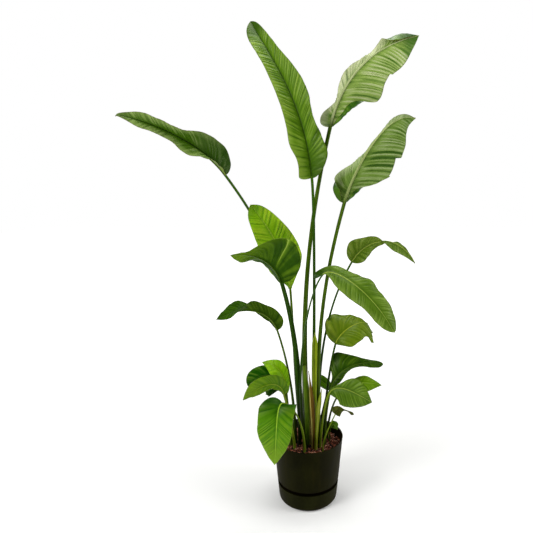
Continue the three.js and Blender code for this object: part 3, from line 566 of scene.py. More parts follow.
def lay_half(leaf, side, rows, after, spine, rng):
    half = leaf["left" if side < 0 else "right"]
    length, index = spine["length"], 0 if side < 0 else 1
    by_rib = rib_radius(leaf, rows) / half_width(leaf, side, rows)
    near = by_rib[:, None] * RIB_COLUMNS
    wide = near[:, -1:] + (1 - near[:, -1:]) * np.linspace(0, 1, WIDE_COLUMNS + 1)[1:]
    share = np.concatenate([near, wide], 1)
    end = vein_place(leaf, side, rows[:, None], np.ones((len(rows), 1)), length)
    kept = share_kept(leaf, side, end)
    share = share * kept
    shift, lift = split_open(leaf, side, rows, after, share)
    s = np.clip(vein_place(leaf, side, rows[:, None], share, length) + shift / length, 0, 1)
    width, rib = half_width(leaf, side, s), rib_radius(leaf, s)
    roll, roll_from = np.zeros_like(s), 0.8
    for roll_side, turns, start in leaf.get("rolls", ()):
        if roll_side == side:
            roll, roll_from = degrees_along(turns, s), start
    slopes = degrees_along(half[1], s), degrees_along(half[2], s)
    out, rise, slope = bent_out(share, width, *slopes, roll, roll_from)
    pace, count = leaf["wave"]
    full = outline(leaf, side, s)
    rise = rise + pace * full * share**2 * np.sin(2 * math.pi * (count * s + 0.3 * index))
    back = leaf.get("lobe", [0, 0])[index] * share * full * np.maximum(0, 1 - s / LOBE_END) ** 2
    start = (rows * length)[:, None]
    ridge = pleat_ridge(leaf, start, rng)
    ends = smooth(rows, 0, 0.05) * smooth(1 - rows, 0, 0.3)
    rolled = np.clip(np.abs(roll) / math.radians(90), 0, 1) * smooth(share, roll_from, roll_from + 0.3)
    grown = smooth(share, 0.03, 0.4) * (1 - 0.55 * smooth(share, 0.7, 1.0)) * (1 - 0.8 * rolled)
    fold = leaf["pleat"][0] * ridge * ends[:, None] * grown
    for crease_side, place, depth, breadth in leaf.get("creases", ()):
        if crease_side == side:
            dent = np.exp(-(((start - place * length) / breadth) ** 2))
            fold = fold - depth * dent * smooth(share, 0.1, 0.9)
            # painted shade in a sunken crease, painted highlight along a raised one
            ridge = ridge - CREASE_SHADE * np.sign(depth) / breadth * dent
    ripple = leaf["ripple"] * unit_wander(rng, s * length, 60) * smooth(share, 0.5, 1.0) * ends[:, None]
    groove = -0.3 * rib * np.maximum(0, 1 - share * width / rib)
    raised = fold + ripple + lift + groove
    right, upper, way = (read_spine(spine[key], s) for key in ("right", "upper", "way"))
    normal = upper * np.cos(slope)[..., None] - right * (side * np.sin(slope))[..., None]
    points = (
        read_spine(spine["at"], s) + right * (side * out)[..., None] + upper * rise[..., None]
        - way * back[..., None] + normal * raised[..., None]
    )
    facts = {
        "vein": np.stack([start + 0 * s, side * share * width, ridge * smooth(share, 0.03, 0.4)], -1),
        "place": np.stack([s, share * width / rib, (kept - share) * width], -1),
    }
    return points, normal, facts


print("each half has", len(RIB_COLUMNS) + WIDE_COLUMNS, "columns")

# %% [markdown]
# The rows along the rib are as close as the fine folds need, and closer still at the joint, where the base
# turns quickly. A split's row is there twice, once for each lip, and the two share their points where the
# blade is still whole.

# %% Rows of the grid and their numbers
ROW_STEP = 2.2
FIRST_ROWS, FIRST_SHARE = 12, 0.03


def vein_rows(leaf, length):
    first = FIRST_SHARE * np.linspace(0, 1, FIRST_ROWS) ** 1.7
    step = ROW_STEP / length
    rows = np.concatenate([first, np.arange(FIRST_SHARE + step, 1 - step / 2, step), [1]])
    for _, place, _, _ in leaf.get("splits", ()):
        rows = rows[np.abs(rows - place) > 0.4 * step]
        rows = np.sort(np.concatenate([rows, [place, place]]))
    after = np.concatenate([[False], rows[1:] == rows[:-1]])
    return rows, after


def number_points(leaf, rows, after, shares):
    """Number the grid's points, giving the two lips of a split the same numbers where it is still whole."""
    columns = shares.shape[1]
    numbers = np.arange(len(rows) * columns).reshape(len(rows), columns)
    middle = columns // 2
    for i in np.flatnonzero(after):
        torn = next(split for split in leaf["splits"] if split[1] == rows[i])
        side_columns = np.arange(columns) * torn[0] > middle * torn[0]
        whole = ~(side_columns & (shares[i] > torn[2]))
        numbers[i, whole] = numbers[i - 1, whole]
    return numbers


top_rows, _ = vein_rows(LEAVES["leaf_top"], leaf_spine(LEAVES["leaf_top"])["length"])
print("the top leaf has", len(top_rows), "rows of points")

# %% [markdown]
# A leaf has two faces that look quite different, so the blade is a thin closed sheet rather than a single
# surface: the upper face is glossy and green, the underside is paler and matt. The sheet is the grid, a copy
# of it pushed down by the leaf's thickness, and a wall along every open edge, tears included.

# %% Close a grid into a thin sheet
THICK_BY_RIB, THICK_AT_EDGE = 1.15, 0.75


def sheet_faces(numbers, after, total):
    """Upper faces, lower faces and the walls between them, as corner numbers."""
    a, b, c, d = numbers[:-1, :-1], numbers[:-1, 1:], numbers[1:, 1:], numbers[1:, :-1]
    quads = np.stack([a, b, c, d], -1)[~after[1:]].reshape(-1, 4)
    edges = np.concatenate([quads[:, [k, (k + 1) % 4]] for k in range(4)])
    forward = edges[:, 0] * total + edges[:, 1]
    backward = edges[:, 1] * total + edges[:, 0]
    rim = edges[~np.isin(forward, backward)]
    walls = np.stack([rim[:, 1], rim[:, 0], rim[:, 0] + total, rim[:, 1] + total], -1)
    return quads, quads[:, ::-1] + total, walls


def joined(left, right):
    """The two halves as one grid, from the left edge to the right one, with the rib's column only once."""
    return np.concatenate([left[:, :0:-1], right], 1)


def weave_blade(leaf, spine, seed):
    rows, after = vein_rows(leaf, spine["length"])
    made = []
    for side in (-1, 1):
        made.append(lay_half(leaf, side, rows, after, spine, np.random.default_rng(seed + side)))
    (left, left_normal, left_facts), (right, right_normal, right_facts) = made
    points, normals = joined(left, right), joined(left_normal, right_normal)
    facts = {key: joined(left_facts[key], right_facts[key]).reshape(-1, 3) for key in left_facts}
    near_rib = np.clip(facts["place"][:, 1] / 6, 0, 1).reshape(points.shape[:2])
    thick = THICK_BY_RIB + (THICK_AT_EDGE - THICK_BY_RIB) * near_rib
    shares = joined(-left_facts["vein"][..., 1], right_facts["vein"][..., 1])
    edge = joined(left_facts["place"][..., 2], right_facts["place"][..., 2])
    numbers = number_points(leaf, rows, after, shares / np.maximum(shares + edge, 1e-6))
    total = numbers.size
    upper, lower, walls = sheet_faces(numbers, after, total)
    both = np.concatenate([points, points - normals * thick[..., None]]).reshape(-1, 3)
    return both, {key: np.tile(value, (2, 1)) for key, value in facts.items()}, (upper, lower, walls)


trial = weave_blade(LEAVES["leaf_top"], leaf_spine(LEAVES["leaf_top"]), 1)
print("the top leaf's blade has", len(trial[2][0]), "upper faces")

# %% [markdown]
# The stalk is one tube that doesn't stop at the joint: it runs on under the blade as the midrib and thins
# out at the tip. Its section is round underneath, and towards the joint it flattens on top and dips into the
# gutter that carries rain down to the crown. The rings lie closest together where the stalk becomes the
# rib, since its section changes fastest there.

# %% The stalk and the midrib
TUBE_SIDES = 22
SOIL_RINGS, STALK_RINGS, JOINT_RINGS, RIB_RINGS = 12, 64, 8, 60
JOINT_END, RIB_END = 0.06, 0.995


def carried_down(rows, count):
    """Rows with the first one repeated, for the straight part of a stalk that stands in the soil."""
    return np.concatenate([np.repeat(rows[:1], count, 0), rows])


def stalk_tube(leaf, spine):
    soil_girth, joint_girth = leaf["girth"]
    foot = np.array([*leaf["foot"], HOLE_FLOOR])
    straight = foot + np.array([0, 0, 1]) * np.linspace(0, BEND_LEVEL - HOLE_FLOOR, SOIL_RINGS)[:-1, None]
    u = np.linspace(0, 1, STALK_RINGS)
    stalk_at, stalk_way = read_spine(spine["stalk_at"], u), unit(read_spine(spine["stalk_way"], u))
    stalk_upper = read_spine(spine["stalk_upper"], u)
    by_joint, by_tip = np.linspace(0, JOINT_END, JOINT_RINGS), np.linspace(JOINT_END, RIB_END, RIB_RINGS)
    s = np.concatenate([by_joint[1:], by_tip[1:]])
    rib_at, rib_way, rib_upper = (read_spine(spine[key], s) for key in ("at", "way", "upper"))
    at = np.concatenate([straight, stalk_at, rib_at])
    way = np.concatenate([carried_down(stalk_way, len(straight)), rib_way])
    upper = np.concatenate([carried_down(stalk_upper, len(straight)), rib_upper])
    radius = np.concatenate([
        np.full(len(straight), soil_girth / 2),
        joint_girth / 2 + (soil_girth - joint_girth) / 2 * (1 - u) ** 2,
        rib_radius(leaf, s) * (1 - 0.15 * smooth(s, 0, 0.05)),
    ])
    flat = np.concatenate([np.full(len(straight), 0.1), 0.1 + 0.7 * u, 0.8 + 0.7 * smooth(s, 0, 0.04)])
    sink = np.concatenate([np.zeros(len(straight) + len(u)), 1.2 * smooth(s, 0, 0.03)])
    turn = np.linspace(0, 2 * math.pi, TUBE_SIDES, endpoint=False)
    over = np.maximum(np.sin(turn), 0) * (1 - flat[:, None])
    over = over - np.maximum(np.sin(turn), 0) * 0.22 * np.maximum(flat[:, None] - 0.3, 0)
    across = np.cos(turn) * radius[:, None]
    rise = (over + np.minimum(np.sin(turn), 0) * 0.95) * radius[:, None] - sink[:, None]
    right = np.cross(way, upper)
    points = at[:, None] + right[:, None] * across[..., None] + upper[:, None] * rise[..., None]
    run = length_along(at)[:, None]
    level, past = at[:, 2:3], run - run[len(straight) + len(u) - 1]
    facts = {
        "vein": np.stack([turn * radius[:, None], run + 0 * across, 0 * across], -1),
        "place": np.stack([level + 0 * across, past + 0 * across, np.sin(turn) + 0 * across], -1),
    }
    return points, facts


def tube_faces(rings, sides):
    numbers = np.arange(rings * sides).reshape(rings, sides)
    a, b = numbers[:-1], np.roll(numbers, -1, 1)[:-1]
    c, d = np.roll(numbers, -1, 1)[1:], numbers[1:]
    quads = np.stack([a, d, c, b], -1).reshape(-1, 4)
    return quads, numbers[0], numbers[-1][::-1]


tube, _ = stalk_tube(LEAVES["leaf_top"], leaf_spine(LEAVES["leaf_top"]))
print("a stalk and its rib make", tube.shape[0], "rings of", tube.shape[1], "points")

# %% [markdown]
# Points and faces become one Blender mesh a leaf. The faces of all kinds go in at once, each with its
# material number: 0 upper side, 1 underside, 2 stalk and rib.
# The facts about each point travel with it as attributes, which is how the materials find the veins.
# Growing things are shaded smooth, broken bark is not.

# %% From lists to a Blender object
def make_mesh(name, points, faces, slots, facts, smooth_faces=True):
    mesh = bpy.data.meshes.new(name)
    mesh.from_pydata((points * MM).tolist(), [], [list(map(int, face)) for face in faces])
    mesh.polygons.foreach_set("material_index", slots)
    mesh.polygons.foreach_set("use_smooth", [smooth_faces] * len(faces))
    for key, values in facts.items():
        mesh.attributes.new(key, "FLOAT_VECTOR", "POINT").data.foreach_set("vector", values.ravel())
    layer = mesh.uv_layers.new(name="laid_flat")
    corners = np.empty(len(mesh.loops), np.int32)
    mesh.loops.foreach_get("vertex_index", corners)
    if "vein" in facts:
        layer.data.foreach_set("uv", (facts["vein"][corners][:, :2] * MM).ravel())
    piece = bpy.data.objects.new(name, mesh)
    bpy.context.scene.collection.objects.link(piece)
    return piece


def drop_loose(points, faces, facts):
    used = np.unique(np.concatenate([np.ravel(face) for face in faces]))
    renumber = np.full(len(points), -1)
    renumber[used] = np.arange(len(used))
    faces = [renumber[np.asarray(face)] for face in faces]
    return points[used], faces, {key: values[used] for key, values in facts.items()}


def grow_leaf(name, leaf, seed):
    spine = leaf_spine(leaf)
    blade, blade_facts, (upper, lower, walls) = weave_blade(leaf, spine, seed)
    tube, tube_facts = stalk_tube(leaf, spine)
    quads, bottom, top = tube_faces(*tube.shape[:2])
    points = np.concatenate([blade, tube.reshape(-1, 3)])
    facts = {key: np.concatenate([blade_facts[key], tube_facts[key].reshape(-1, 3)]) for key in blade_facts}
    shift = len(blade)
    faces = [*upper, *lower, *walls, *(quads + shift), bottom + shift, top + shift]
    slots = [0] * len(upper) + [1] * len(lower) + [0] * len(walls) + [2] * (len(quads) + 2)
    points, faces, facts = drop_loose(points, faces, facts)
    return make_mesh(name, points, faces, slots, facts)


longest_stalk = max(leaf_spine(leaf)["stalk_length"] for leaf in LEAVES.values())
print("the longest stalk comes", round(longest_stalk), "mm out of the pot")

# %% [markdown]
# Colours are written as they look on a screen, in the usual six letters and digits, and turned into the
# linear light that Blender mixes.

# %% Colours
def light_of(code):
    parts = [int(code[i : i + 2], 16) / 255 for i in (0, 2, 4)]
    linear = [v / 12.92 if v <= 0.04045 else ((v + 0.055) / 1.055) ** 2.4 for v in parts]
    return (*linear, 1.0)


print("a mid green in linear light is", [round(v, 3) for v in light_of("5b7d04")])

# %% [markdown]
# A finish is a tree of nodes, and written out node by node it would be long and hard to read. Recipe keeps it
# short: parts_of reads the facts that came with the points, grain is noise drawn out one way as fibres are,
# fade turns a measure into a share, blend and ramp choose colours, and finish wires up colour and relief.

# %% Helpers for finishes
class Recipe:
    """A material's node tree, with one short call for each kind of node."""

    def __init__(self, name, roughness, paint=(1.0, 1.0, 1.0), **uniform):
        self.paint = paint
        self.material = bpy.data.materials.new(name)
        self.material.use_nodes = True
        self.tree = self.material.node_tree
        self.shader = self.tree.nodes["Principled BSDF"]
        self.shader.inputs["Roughness"].default_value = roughness
        for socket, value in uniform.items():
            self.shader.inputs[socket.replace("_", " ")].default_value = value

    def add(self, kind, wires=(), **settings):
        node = self.tree.nodes.new(kind)
        for key, value in settings.items():
            setattr(node, key, value)
        for socket, source in dict(wires).items():
            if hasattr(source, "links"):
                self.tree.links.new(source, node.inputs[socket])
            else:
                node.inputs[socket].default_value = source
        return node

    def painted(self, code):
        return (*(light * share for light, share in zip(light_of(code), self.paint)), 1.0)

    def parts_of(self, attribute):
        source = self.add("ShaderNodeAttribute", attribute_name=attribute)
        split = self.add("ShaderNodeSeparateXYZ", {0: source.outputs["Vector"]})
        return source.outputs["Vector"], split.outputs

    def grain(self, vector, stretch, detail=3.0, rough=0.55):
        """Noise that is drawn out: stretch says how many grains there are in a millimetre each way."""
        scaled = self.add("ShaderNodeVectorMath", {0: vector, 1: stretch}, operation="MULTIPLY")
        noise_node = self.add(
            "ShaderNodeTexNoise",
            {"Vector": scaled.outputs[0], "Scale": 1.0, "Detail": detail, "Roughness": rough},
        )
        return noise_node.outputs["Fac"]

    def math(self, operation, *values):
        return self.add("ShaderNodeMath", dict(enumerate(values)), operation=operation).outputs[0]

    def times(self, first, second):
        return self.math("MULTIPLY", first, second)

    def fade(self, value, low, high, from_value=0.0, to_value=1.0):
        node = self.add(
            "ShaderNodeMapRange", {0: value, 1: low, 2: high, 3: from_value, 4: to_value},
            interpolation_type="SMOOTHSTEP",
        )
        return node.outputs[0]

    def blend(self, share, first, second):
        node = self.add("ShaderNodeMix", {"Factor": share}, data_type="RGBA")
        for socket, colour in ((6, first), (7, second)):
            if hasattr(colour, "links"):
                self.tree.links.new(colour, node.inputs[socket])
            else:
                node.inputs[socket].default_value = self.painted(colour)
        return node.outputs[2]

    def ramp(self, value, stops):
        node = self.add("ShaderNodeValToRGB", {0: value})
        ramp = node.color_ramp
        while len(ramp.elements) < len(stops):
            ramp.elements.new(0.5)
        for element, (place, code) in zip(ramp.elements, stops):
            element.position, element.color = place, self.painted(code)
        return node.outputs["Color"]

    def finish(self, colour, height, depth, strength, roughness=None):
        links = self.tree.links
        links.new(colour, self.shader.inputs["Base Color"])
        if roughness is not None:
            links.new(roughness, self.shader.inputs["Roughness"])
        bump = self.add("ShaderNodeBump", {"Strength": strength, "Distance": depth, "Height": height})
        links.new(bump.outputs[0], self.shader.inputs["Normal"])
        return self.material


print("a recipe can", [word for word in vars(Recipe) if not word.startswith("_")])

# %% [markdown]
# Leaf skin. A real blade isn't one green: fine side veins run along it as thin lines, whole strips between
# veins are a little lighter or darker, and the cut edge is a thin line. Light and shade are painted in too:
# painted shade in the furrows of the pleats with a painted highlight on the swell between them, painted
# shade just beside the rib, a painted sheen as a pale band where the edge turns away, painted shade in a
# sunken crease and a painted highlight along a raised one, and painted shade at a leaf's base and tip.
# Everything is drawn in the leaf's own measure, along the veins and across them, so the streaks bend with
# the blade. The underside gets a paler skin with the same veins. The ridge of each pleat comes with the
# points, so the painted furrows and pale folds fall where the blade really bends.

# %% Leaf skin
# RAISED_FOLD_HIGHLIGHT is the painted highlight along a raised crease
WAX_TINT, RAISED_FOLD_HIGHLIGHT = "e4f4b0", "9cb460"


def leaf_skin(name, greens, looks, roughness, paint):
    tones, rib, edge = greens
    gloss, sheen, deeper, streaks = looks
    recipe = Recipe(name, roughness, paint, Specular_IOR_Level=gloss, Specular_Tint=light_of(WAX_TINT))
    vein, (_, out, fold) = recipe.parts_of("vein")
    _, (s, from_rib, from_edge) = recipe.parts_of("place")
    strips = recipe.grain(vein, (0.06, 0.003, 0.0), 2.0)
    lines = recipe.grain(vein, (0.4, 0.004, 0.0), 2.0)
    clouds = recipe.grain(vein, (0.012, 0.014, 0.0), 3.0)
    tone = recipe.math("MULTIPLY_ADD", strips, 0.7 * streaks, 0.5 - 0.35 * streaks)
    tone = recipe.math("ADD", tone, recipe.math("MULTIPLY_ADD", lines, 0.3 * streaks, -0.15 * streaks))
    tone = recipe.math("ADD", tone, recipe.math("MULTIPLY_ADD", clouds, 0.5, -0.25))
    # painted shade and highlight: the skin is darker low in a pleat's furrow and paler on its swell
    tone = recipe.math("ADD", tone, recipe.times(fold, 0.2 * streaks))
    # painted shade: the skin is a little darker just beside the rib
    tone = recipe.math("ADD", tone, recipe.fade(from_rib, 1.0, 5.0, -0.12, 0.0))
    deep, middle, pale = tones
    colour = recipe.ramp(tone, [(0.15, deep), (0.5, middle), (0.85, pale)])
    # painted sheen: a pale band blended in along the edge, stronger on one side than the other
    left_sheen, right_sheen, breadth = sheen
    by_side = recipe.fade(out, -0.5, 0.5, left_sheen, right_sheen)
    band = recipe.times(recipe.fade(from_edge, breadth, 0.15 * breadth), by_side)
    band = recipe.times(band, recipe.fade(strips, 0.25, 0.75, 0.5, 1.0))
    colour = recipe.blend(band, colour, pale)
    # painted shade: the deepest part of each furrow is darkened further towards the deep green
    furrow = recipe.times(recipe.fade(fold, -0.35, -0.85), 0.45 * streaks)
    colour = recipe.blend(furrow, colour, deep)
    # painted shade: the base, on each side, and the tip are darkened towards the deep green; a paler tip is
    # blended in below
    left_base, right_base, tip, reach = deeper
    base = recipe.fade(out, -0.5, 0.5, left_base, right_base)
    base = recipe.times(recipe.fade(s, reach, 0.03), base)
    painted_shade = recipe.math("ADD", base, recipe.fade(s, 0.84, 0.93, 0.0, max(tip, 0.0)))
    painted_shade = recipe.times(painted_shade, recipe.fade(clouds, 0.3, 0.6, 0.75, 1.0))
    colour = recipe.blend(painted_shade, colour, deep)
    colour = recipe.blend(recipe.fade(s, 0.5, 0.85, 0.0, max(-tip, 0.0)), colour, pale)
    # painted highlight along a raised crease
    colour = recipe.blend(recipe.fade(fold, 2.6, 3.6), colour, RAISED_FOLD_HIGHLIGHT)
    colour = recipe.blend(recipe.fade(from_rib, 0.75, 0.3), colour, rib)
    colour = recipe.blend(recipe.fade(from_edge, 1.3, 0.5), colour, edge)
    height = recipe.math("ADD", recipe.times(lines, 0.6), recipe.times(strips, 0.4))
    rough = recipe.fade(lines, 0.2, 0.8, roughness - 0.06, roughness + 0.08)
    return recipe.finish(colour, height, 0.0007, 0.4, rough)


print("wax tints what a leaf mirrors to", [round(v, 2) for v in light_of(WAX_TINT)[:3]])

# %% [markdown]
# Every leaf has its own greens: a deep, a middle and a pale one for the upper side, three more for the
# underside, then the rib and the cut edge. They are the greens as they are seen in the studio. Paint under
# bright lamps has to be darker than what is seen, and LEAF_PAINT and UNDER_PAINT are that step.
# PAINTED_SHEEN is a painted sheen, a pale band along the edge where it turns away: its share at the left
# edge, at the right edge, and its breadth.
# Where a leaf's base or tip is darker than its middle, SHADED_ENDS says how much painted shade is put there:
# at the left of the base, at its right, at the tip (below zero the tip is painted paler instead), and how far
# along the leaf the base's painted shade goes.
# STREAKS is how striped a leaf is, the painted shade of its furrows included, and GLOSS how much of the
# lamps it mirrors. A dark leaf that mirrors little keeps its deep green.

# %% The greens of each leaf
LEAF_PAINT, UNDER_PAINT = (0.72, 0.74, 0.3), (0.8, 0.8, 0.5)
UPPER_ROUGH, UNDER_ROUGH = 0.31, 0.5
PLAIN_GLOSS, PLAIN_PAINTED_SHEEN, PLAIN_SHADED_ENDS = 0.18, (0.15, 0.15, 12), (0.3, 0.3, 0.3, 0.2)
UNDER_STREAKS = 1.2
TONES = {
    "leaf_top": [("2c4e08", "567c1a", "8ca65c"), ("3e5c10", "567a20", "86a050"), "2c4a08", "4c5c20"],
    "leaf_upper_right": [("1c4a08", "2f5f12", "5a8030"), ("3a661e", "8eaa62", "ccd2cc"), "bcc6a0", "7a7448"],
    "leaf_right": [("0f3c04", "264f0c", "4c7420"), ("34581a", "708e48", "acbca6"), "98ac5c", "6a6c3c"],
    "leaf_far_left": [("1a3e02", "466a18", "a0b49c"), ("3c5c14", "5c7c30", "8ca060"), "163002", "5c4c2c"],
    "leaf_back_bright": [("4e8408", "86b81c", "b0d048"), ("48700c", "6c9818", "94b434"), "a8c058", "6c7420"],
    "leaf_torn": [("2c5004", "4c7410", "7a9830"), ("0c2600", "2a4e00", "6c9020"), "4c6c18", "6c8040"],
    "leaf_outer_right": [("3e5c0c", "5e7828", "84965c"), ("3c5c10", "587428", "7c9050"), "98a868", "4c4c24"],
    "leaf_long_front": [("2c4e0c", "58782a", "94ae70"), ("264c08", "466c1c", "749444"), "98ac64", "4c3c2c"],
    "leaf_narrow_left": [("1c3c02", "305406", "4c7418"), ("1e3e02", "365408", "547020"), "647c30", "484f1c"],
    "leaf_mid_right": [("46640c", "627c1c", "849640"), ("40600c", "5c7820", "84984c"), "a4b04c", "50581c"],
    "leaf_low_right_flat": [
        ("0c2a00", "2c4e06", "5c7c24"), ("183404", "345408", "54702c"), "4c6820", "3c4818",
    ],
    "leaf_low_right_front": [
        ("345808", "527420", "80a050"), ("44641a", "5c7c30", "7c9450"), "98ac5c", "484c20",
    ],
    "leaf_low_right_back": [
        ("487000", "669010", "8cb03c"), ("507808", "6c9418", "8cac38"), "a0bc60", "60702c",
    ],
    "leaf_low_left_back": [
        ("588c00", "84ba0c", "a8d838"), ("507808", "6c9810", "88b028"), "9cb83c", "60702c",
    ],
    "leaf_low_left_dark": [
        ("042c02", "226008", "7c9c50"), ("183c08", "305814", "50702c"), "4c7030", "3c5020",
    ],
    "leaf_low_left_front": [
        ("3e6c00", "5e880e", "80a034"), ("385c08", "507414", "6c8c34"), "8ca43c", "58602c",
    ],
    "leaf_over_rim": [("0e4600", "589010", "8cb038"), ("48700c", "64902c", "84a848"), "a4cc54", "8ca050"],
    "leaf_dry": [("2c380c", "434c1c", "646430"), ("34400f", "4c5224", "6c6838"), "605c30", "443c1c"],
    "leaf_seedling": [("2c5008", "44700f", "6c9830"), ("305408", "4c7818", "709434"), "80a048", "58702c"],
    "leaf_behind": [("386004", "50800c", "70981c"), ("2c5008", "446c10", "608028"), "74903c", "4c5824"],
}
PALE_RIBS = {
    "leaf_top": "8c9c54", "leaf_far_left": "80944c", "leaf_upper_right": "c4ccdc", "leaf_right": "b4c0b8",
}
PAINTED_SHEEN = {
    "leaf_top": (0.6, 0.1, 30), "leaf_upper_right": (0.1, 1.0, 46), "leaf_right": (0.1, 0.95, 42),
    "leaf_far_left": (0.6, 0.5, 26), "leaf_long_front": (0.2, 0.4, 24), "leaf_back_bright": (0.1, 0.5, 30),
    "leaf_torn": (0.1, 0.5, 14),
}
SHADED_ENDS = {
    "leaf_top": (0.15, 0.8, 0.9, 0.2), "leaf_upper_right": (0.0, 0.3, 0.95, 0.12),
    "leaf_right": (0.3, 0.1, 0.5, 0.2), "leaf_far_left": (0.2, 0.95, 0.5, 0.5),
    "leaf_back_bright": (0.3, 0.3, 0.7, 0.2), "leaf_over_rim": (0.95, 0.95, -0.6, 0.34),
    "leaf_torn": (0.3, 0.3, -0.8, 0.2), "leaf_low_left_front": (0.3, 0.3, -0.4, 0.2),
    "leaf_long_front": (1.0, 0.1, 0.1, 0.15), "leaf_low_left_dark": (0.95, 0.2, 0.3, 0.8),
}
STREAKS = {
    "leaf_top": 1.15, "leaf_upper_right": 1.35, "leaf_right": 1.3, "leaf_back_bright": 1.25,
    "leaf_long_front": 0.6, "leaf_far_left": 0.75, "leaf_torn": 0.5,
}
GLOSS = {"leaf_torn": 0.06, "leaf_narrow_left": 0.04, "leaf_low_left_dark": 0.08}


def leaf_skins(name):
    upper, under, rib, edge = TONES[name]
    gloss, streaks = GLOSS.get(name, PLAIN_GLOSS), STREAKS.get(name, 1.0)
    sheen, deeper = PAINTED_SHEEN.get(name, PLAIN_PAINTED_SHEEN), SHADED_ENDS.get(name, PLAIN_SHADED_ENDS)
    greens, looks = (upper, rib, edge), (gloss, sheen, deeper, streaks)
    upper_skin = leaf_skin(f"{name}_upper", greens, looks, UPPER_ROUGH, LEAF_PAINT)
    greens = (under, PALE_RIBS.get(name, rib), edge)
    looks = (gloss, sheen, deeper, UNDER_STREAKS * streaks)
    return upper_skin, leaf_skin(f"{name}_under", greens, looks, UNDER_ROUGH, UNDER_PAINT)


print(len(TONES), "leaves have their own greens")

# %% [markdown]
# Stalk skin. A stalk is smooth and faintly striped along its length, paler inside its gutter, and near the
# soil it is blotched where old sheaths have scarred it, with a yellowish margin. Lower down it is also
# darkened with painted shade, most on the stalks at the back, which stand in the shadow of the others.
# Past the joint the same tube is the midrib, which turns to the pale green of its own leaf's rib within a
# few centimetres. The stalks in the light at the front, the half-shaded ones and those in shade at the back
# each have a deep, a middle, a pale and a margin green, paler where they stand in the light, and a share
# that says how much painted shade darkens the lower stalk.

# %% Stalk skin
def stalk_skin(name, tones, rib, painted_shade):
    deep, middle, pale, margin = tones
    recipe = Recipe(name, 0.38, LEAF_PAINT, Specular_IOR_Level=0.15, Specular_Tint=light_of("d0f080"))
    vein, _ = recipe.parts_of("vein")
    _, (level, past, facing) = recipe.parts_of("place")
    stripes = recipe.grain(vein, (0.35, 0.004, 0.0), 3.0)
    clouds = recipe.grain(vein, (0.05, 0.012, 0.0), 3.0)
    blots = recipe.grain(vein, (0.12, 0.03, 0.0), 4.0, 0.7)
    tone = recipe.math("MULTIPLY_ADD", stripes, 0.6, recipe.times(clouds, 0.5))
    colour = recipe.ramp(tone, [(0.3, deep), (0.55, middle), (0.8, pale)])
    gutter = recipe.times(recipe.fade(facing, 0.1, 0.8), recipe.fade(past, -500.0, -60.0))
    colour = recipe.blend(recipe.times(gutter, 0.5), colour, pale)
    pale_rib = recipe.blend(recipe.times(recipe.fade(stripes, 0.6, 0.35), 0.5), rib, middle)
    colour = recipe.blend(recipe.fade(past, -8.0, 55.0), colour, pale_rib)
    # painted shade: darker lower down, by the stalk's share, most on the stalks at the back
    colour = recipe.blend(recipe.fade(level, 660.0, 340.0, 0.0, painted_shade), colour, "081604")
    low = recipe.fade(level, 430.0, 250.0)
    scar = recipe.times(recipe.fade(blots, 0.5, 0.66), low)
    colour = recipe.blend(recipe.times(scar, 0.8), colour, "241c0c")
    edge = recipe.times(recipe.fade(recipe.math("ABSOLUTE", facing), 0.25, 0.05), low)
    colour = recipe.blend(recipe.times(edge, 0.55), colour, margin)
    return recipe.finish(colour, stripes, 0.0006, 0.5, recipe.fade(clouds, 0.2, 0.8, 0.3, 0.48))


# lit and shaded copies of the stalk greens: paler in front, in the light, darker at the back, in shade
STALK_IN_LIGHT = ("465c10", "66801e", "94a84c", "c4c88c"), 0.0
STALK_HALF_SHADED = ("243c06", "3e5a0e", "6a8834", "8c9050"), 0.45
STALK_IN_SHADE = ("102c04", "20440a", "40681e", "3c4418"), 0.92
STALKS_IN_LIGHT = {"leaf_over_rim", "leaf_dry", "leaf_low_right_front", "leaf_low_left_front"}
STALKS_IN_SHADE = {
    "leaf_top", "leaf_far_left", "leaf_torn", "leaf_outer_right", "leaf_long_front", "leaf_behind",
    "leaf_mid_right",
}


def stalk_light_tones(name):
    return STALK_IN_LIGHT if name in STALKS_IN_LIGHT else STALK_IN_SHADE if name in STALKS_IN_SHADE else STALK_HALF_SHADED


# counts the stalks in the light and those in shade
print(len(STALKS_IN_LIGHT), "stalks are young,", len(STALKS_IN_SHADE), "are old")

# %% [markdown]
# Now the leaves grow. Each is one piece, rides on the plant, and stands for the packed model's plain leaf.

# %% Grow the leaves
for seed, (name, leaf) in enumerate(LEAVES.items()):
    piece = grow_leaf(f"{name}_grown", leaf, 10 * seed + 1)
    tones, painted_shade = stalk_light_tones(name)
    stalk = stalk_skin(f"{name}_stalk", tones, PALE_RIBS.get(name, TONES[name][2]), painted_shade)
    for skin in (*leaf_skins(name), stalk):
        piece.data.materials.append(skin)
    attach(piece, "root")
    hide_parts(name)
leaf_faces = [len(o.data.polygons) for o in bpy.data.objects if o.name.endswith("_grown")]
print("faces in all leaves:", sum(leaf_faces))

# %% [markdown]
# More shoots stand among the stalks: the newest leaf, still rolled into a spear, a shorter one in front of
# it, a pale sheath that clasps the thickest stalk, and a papery brown one that is left of a leaf long gone.
# girth is the thickness at the soil, where it is widest, and at the tip. widest is that place, as a share of
# the length. lap is the angle where the outer edge starts, and how fast it winds round on the way up.

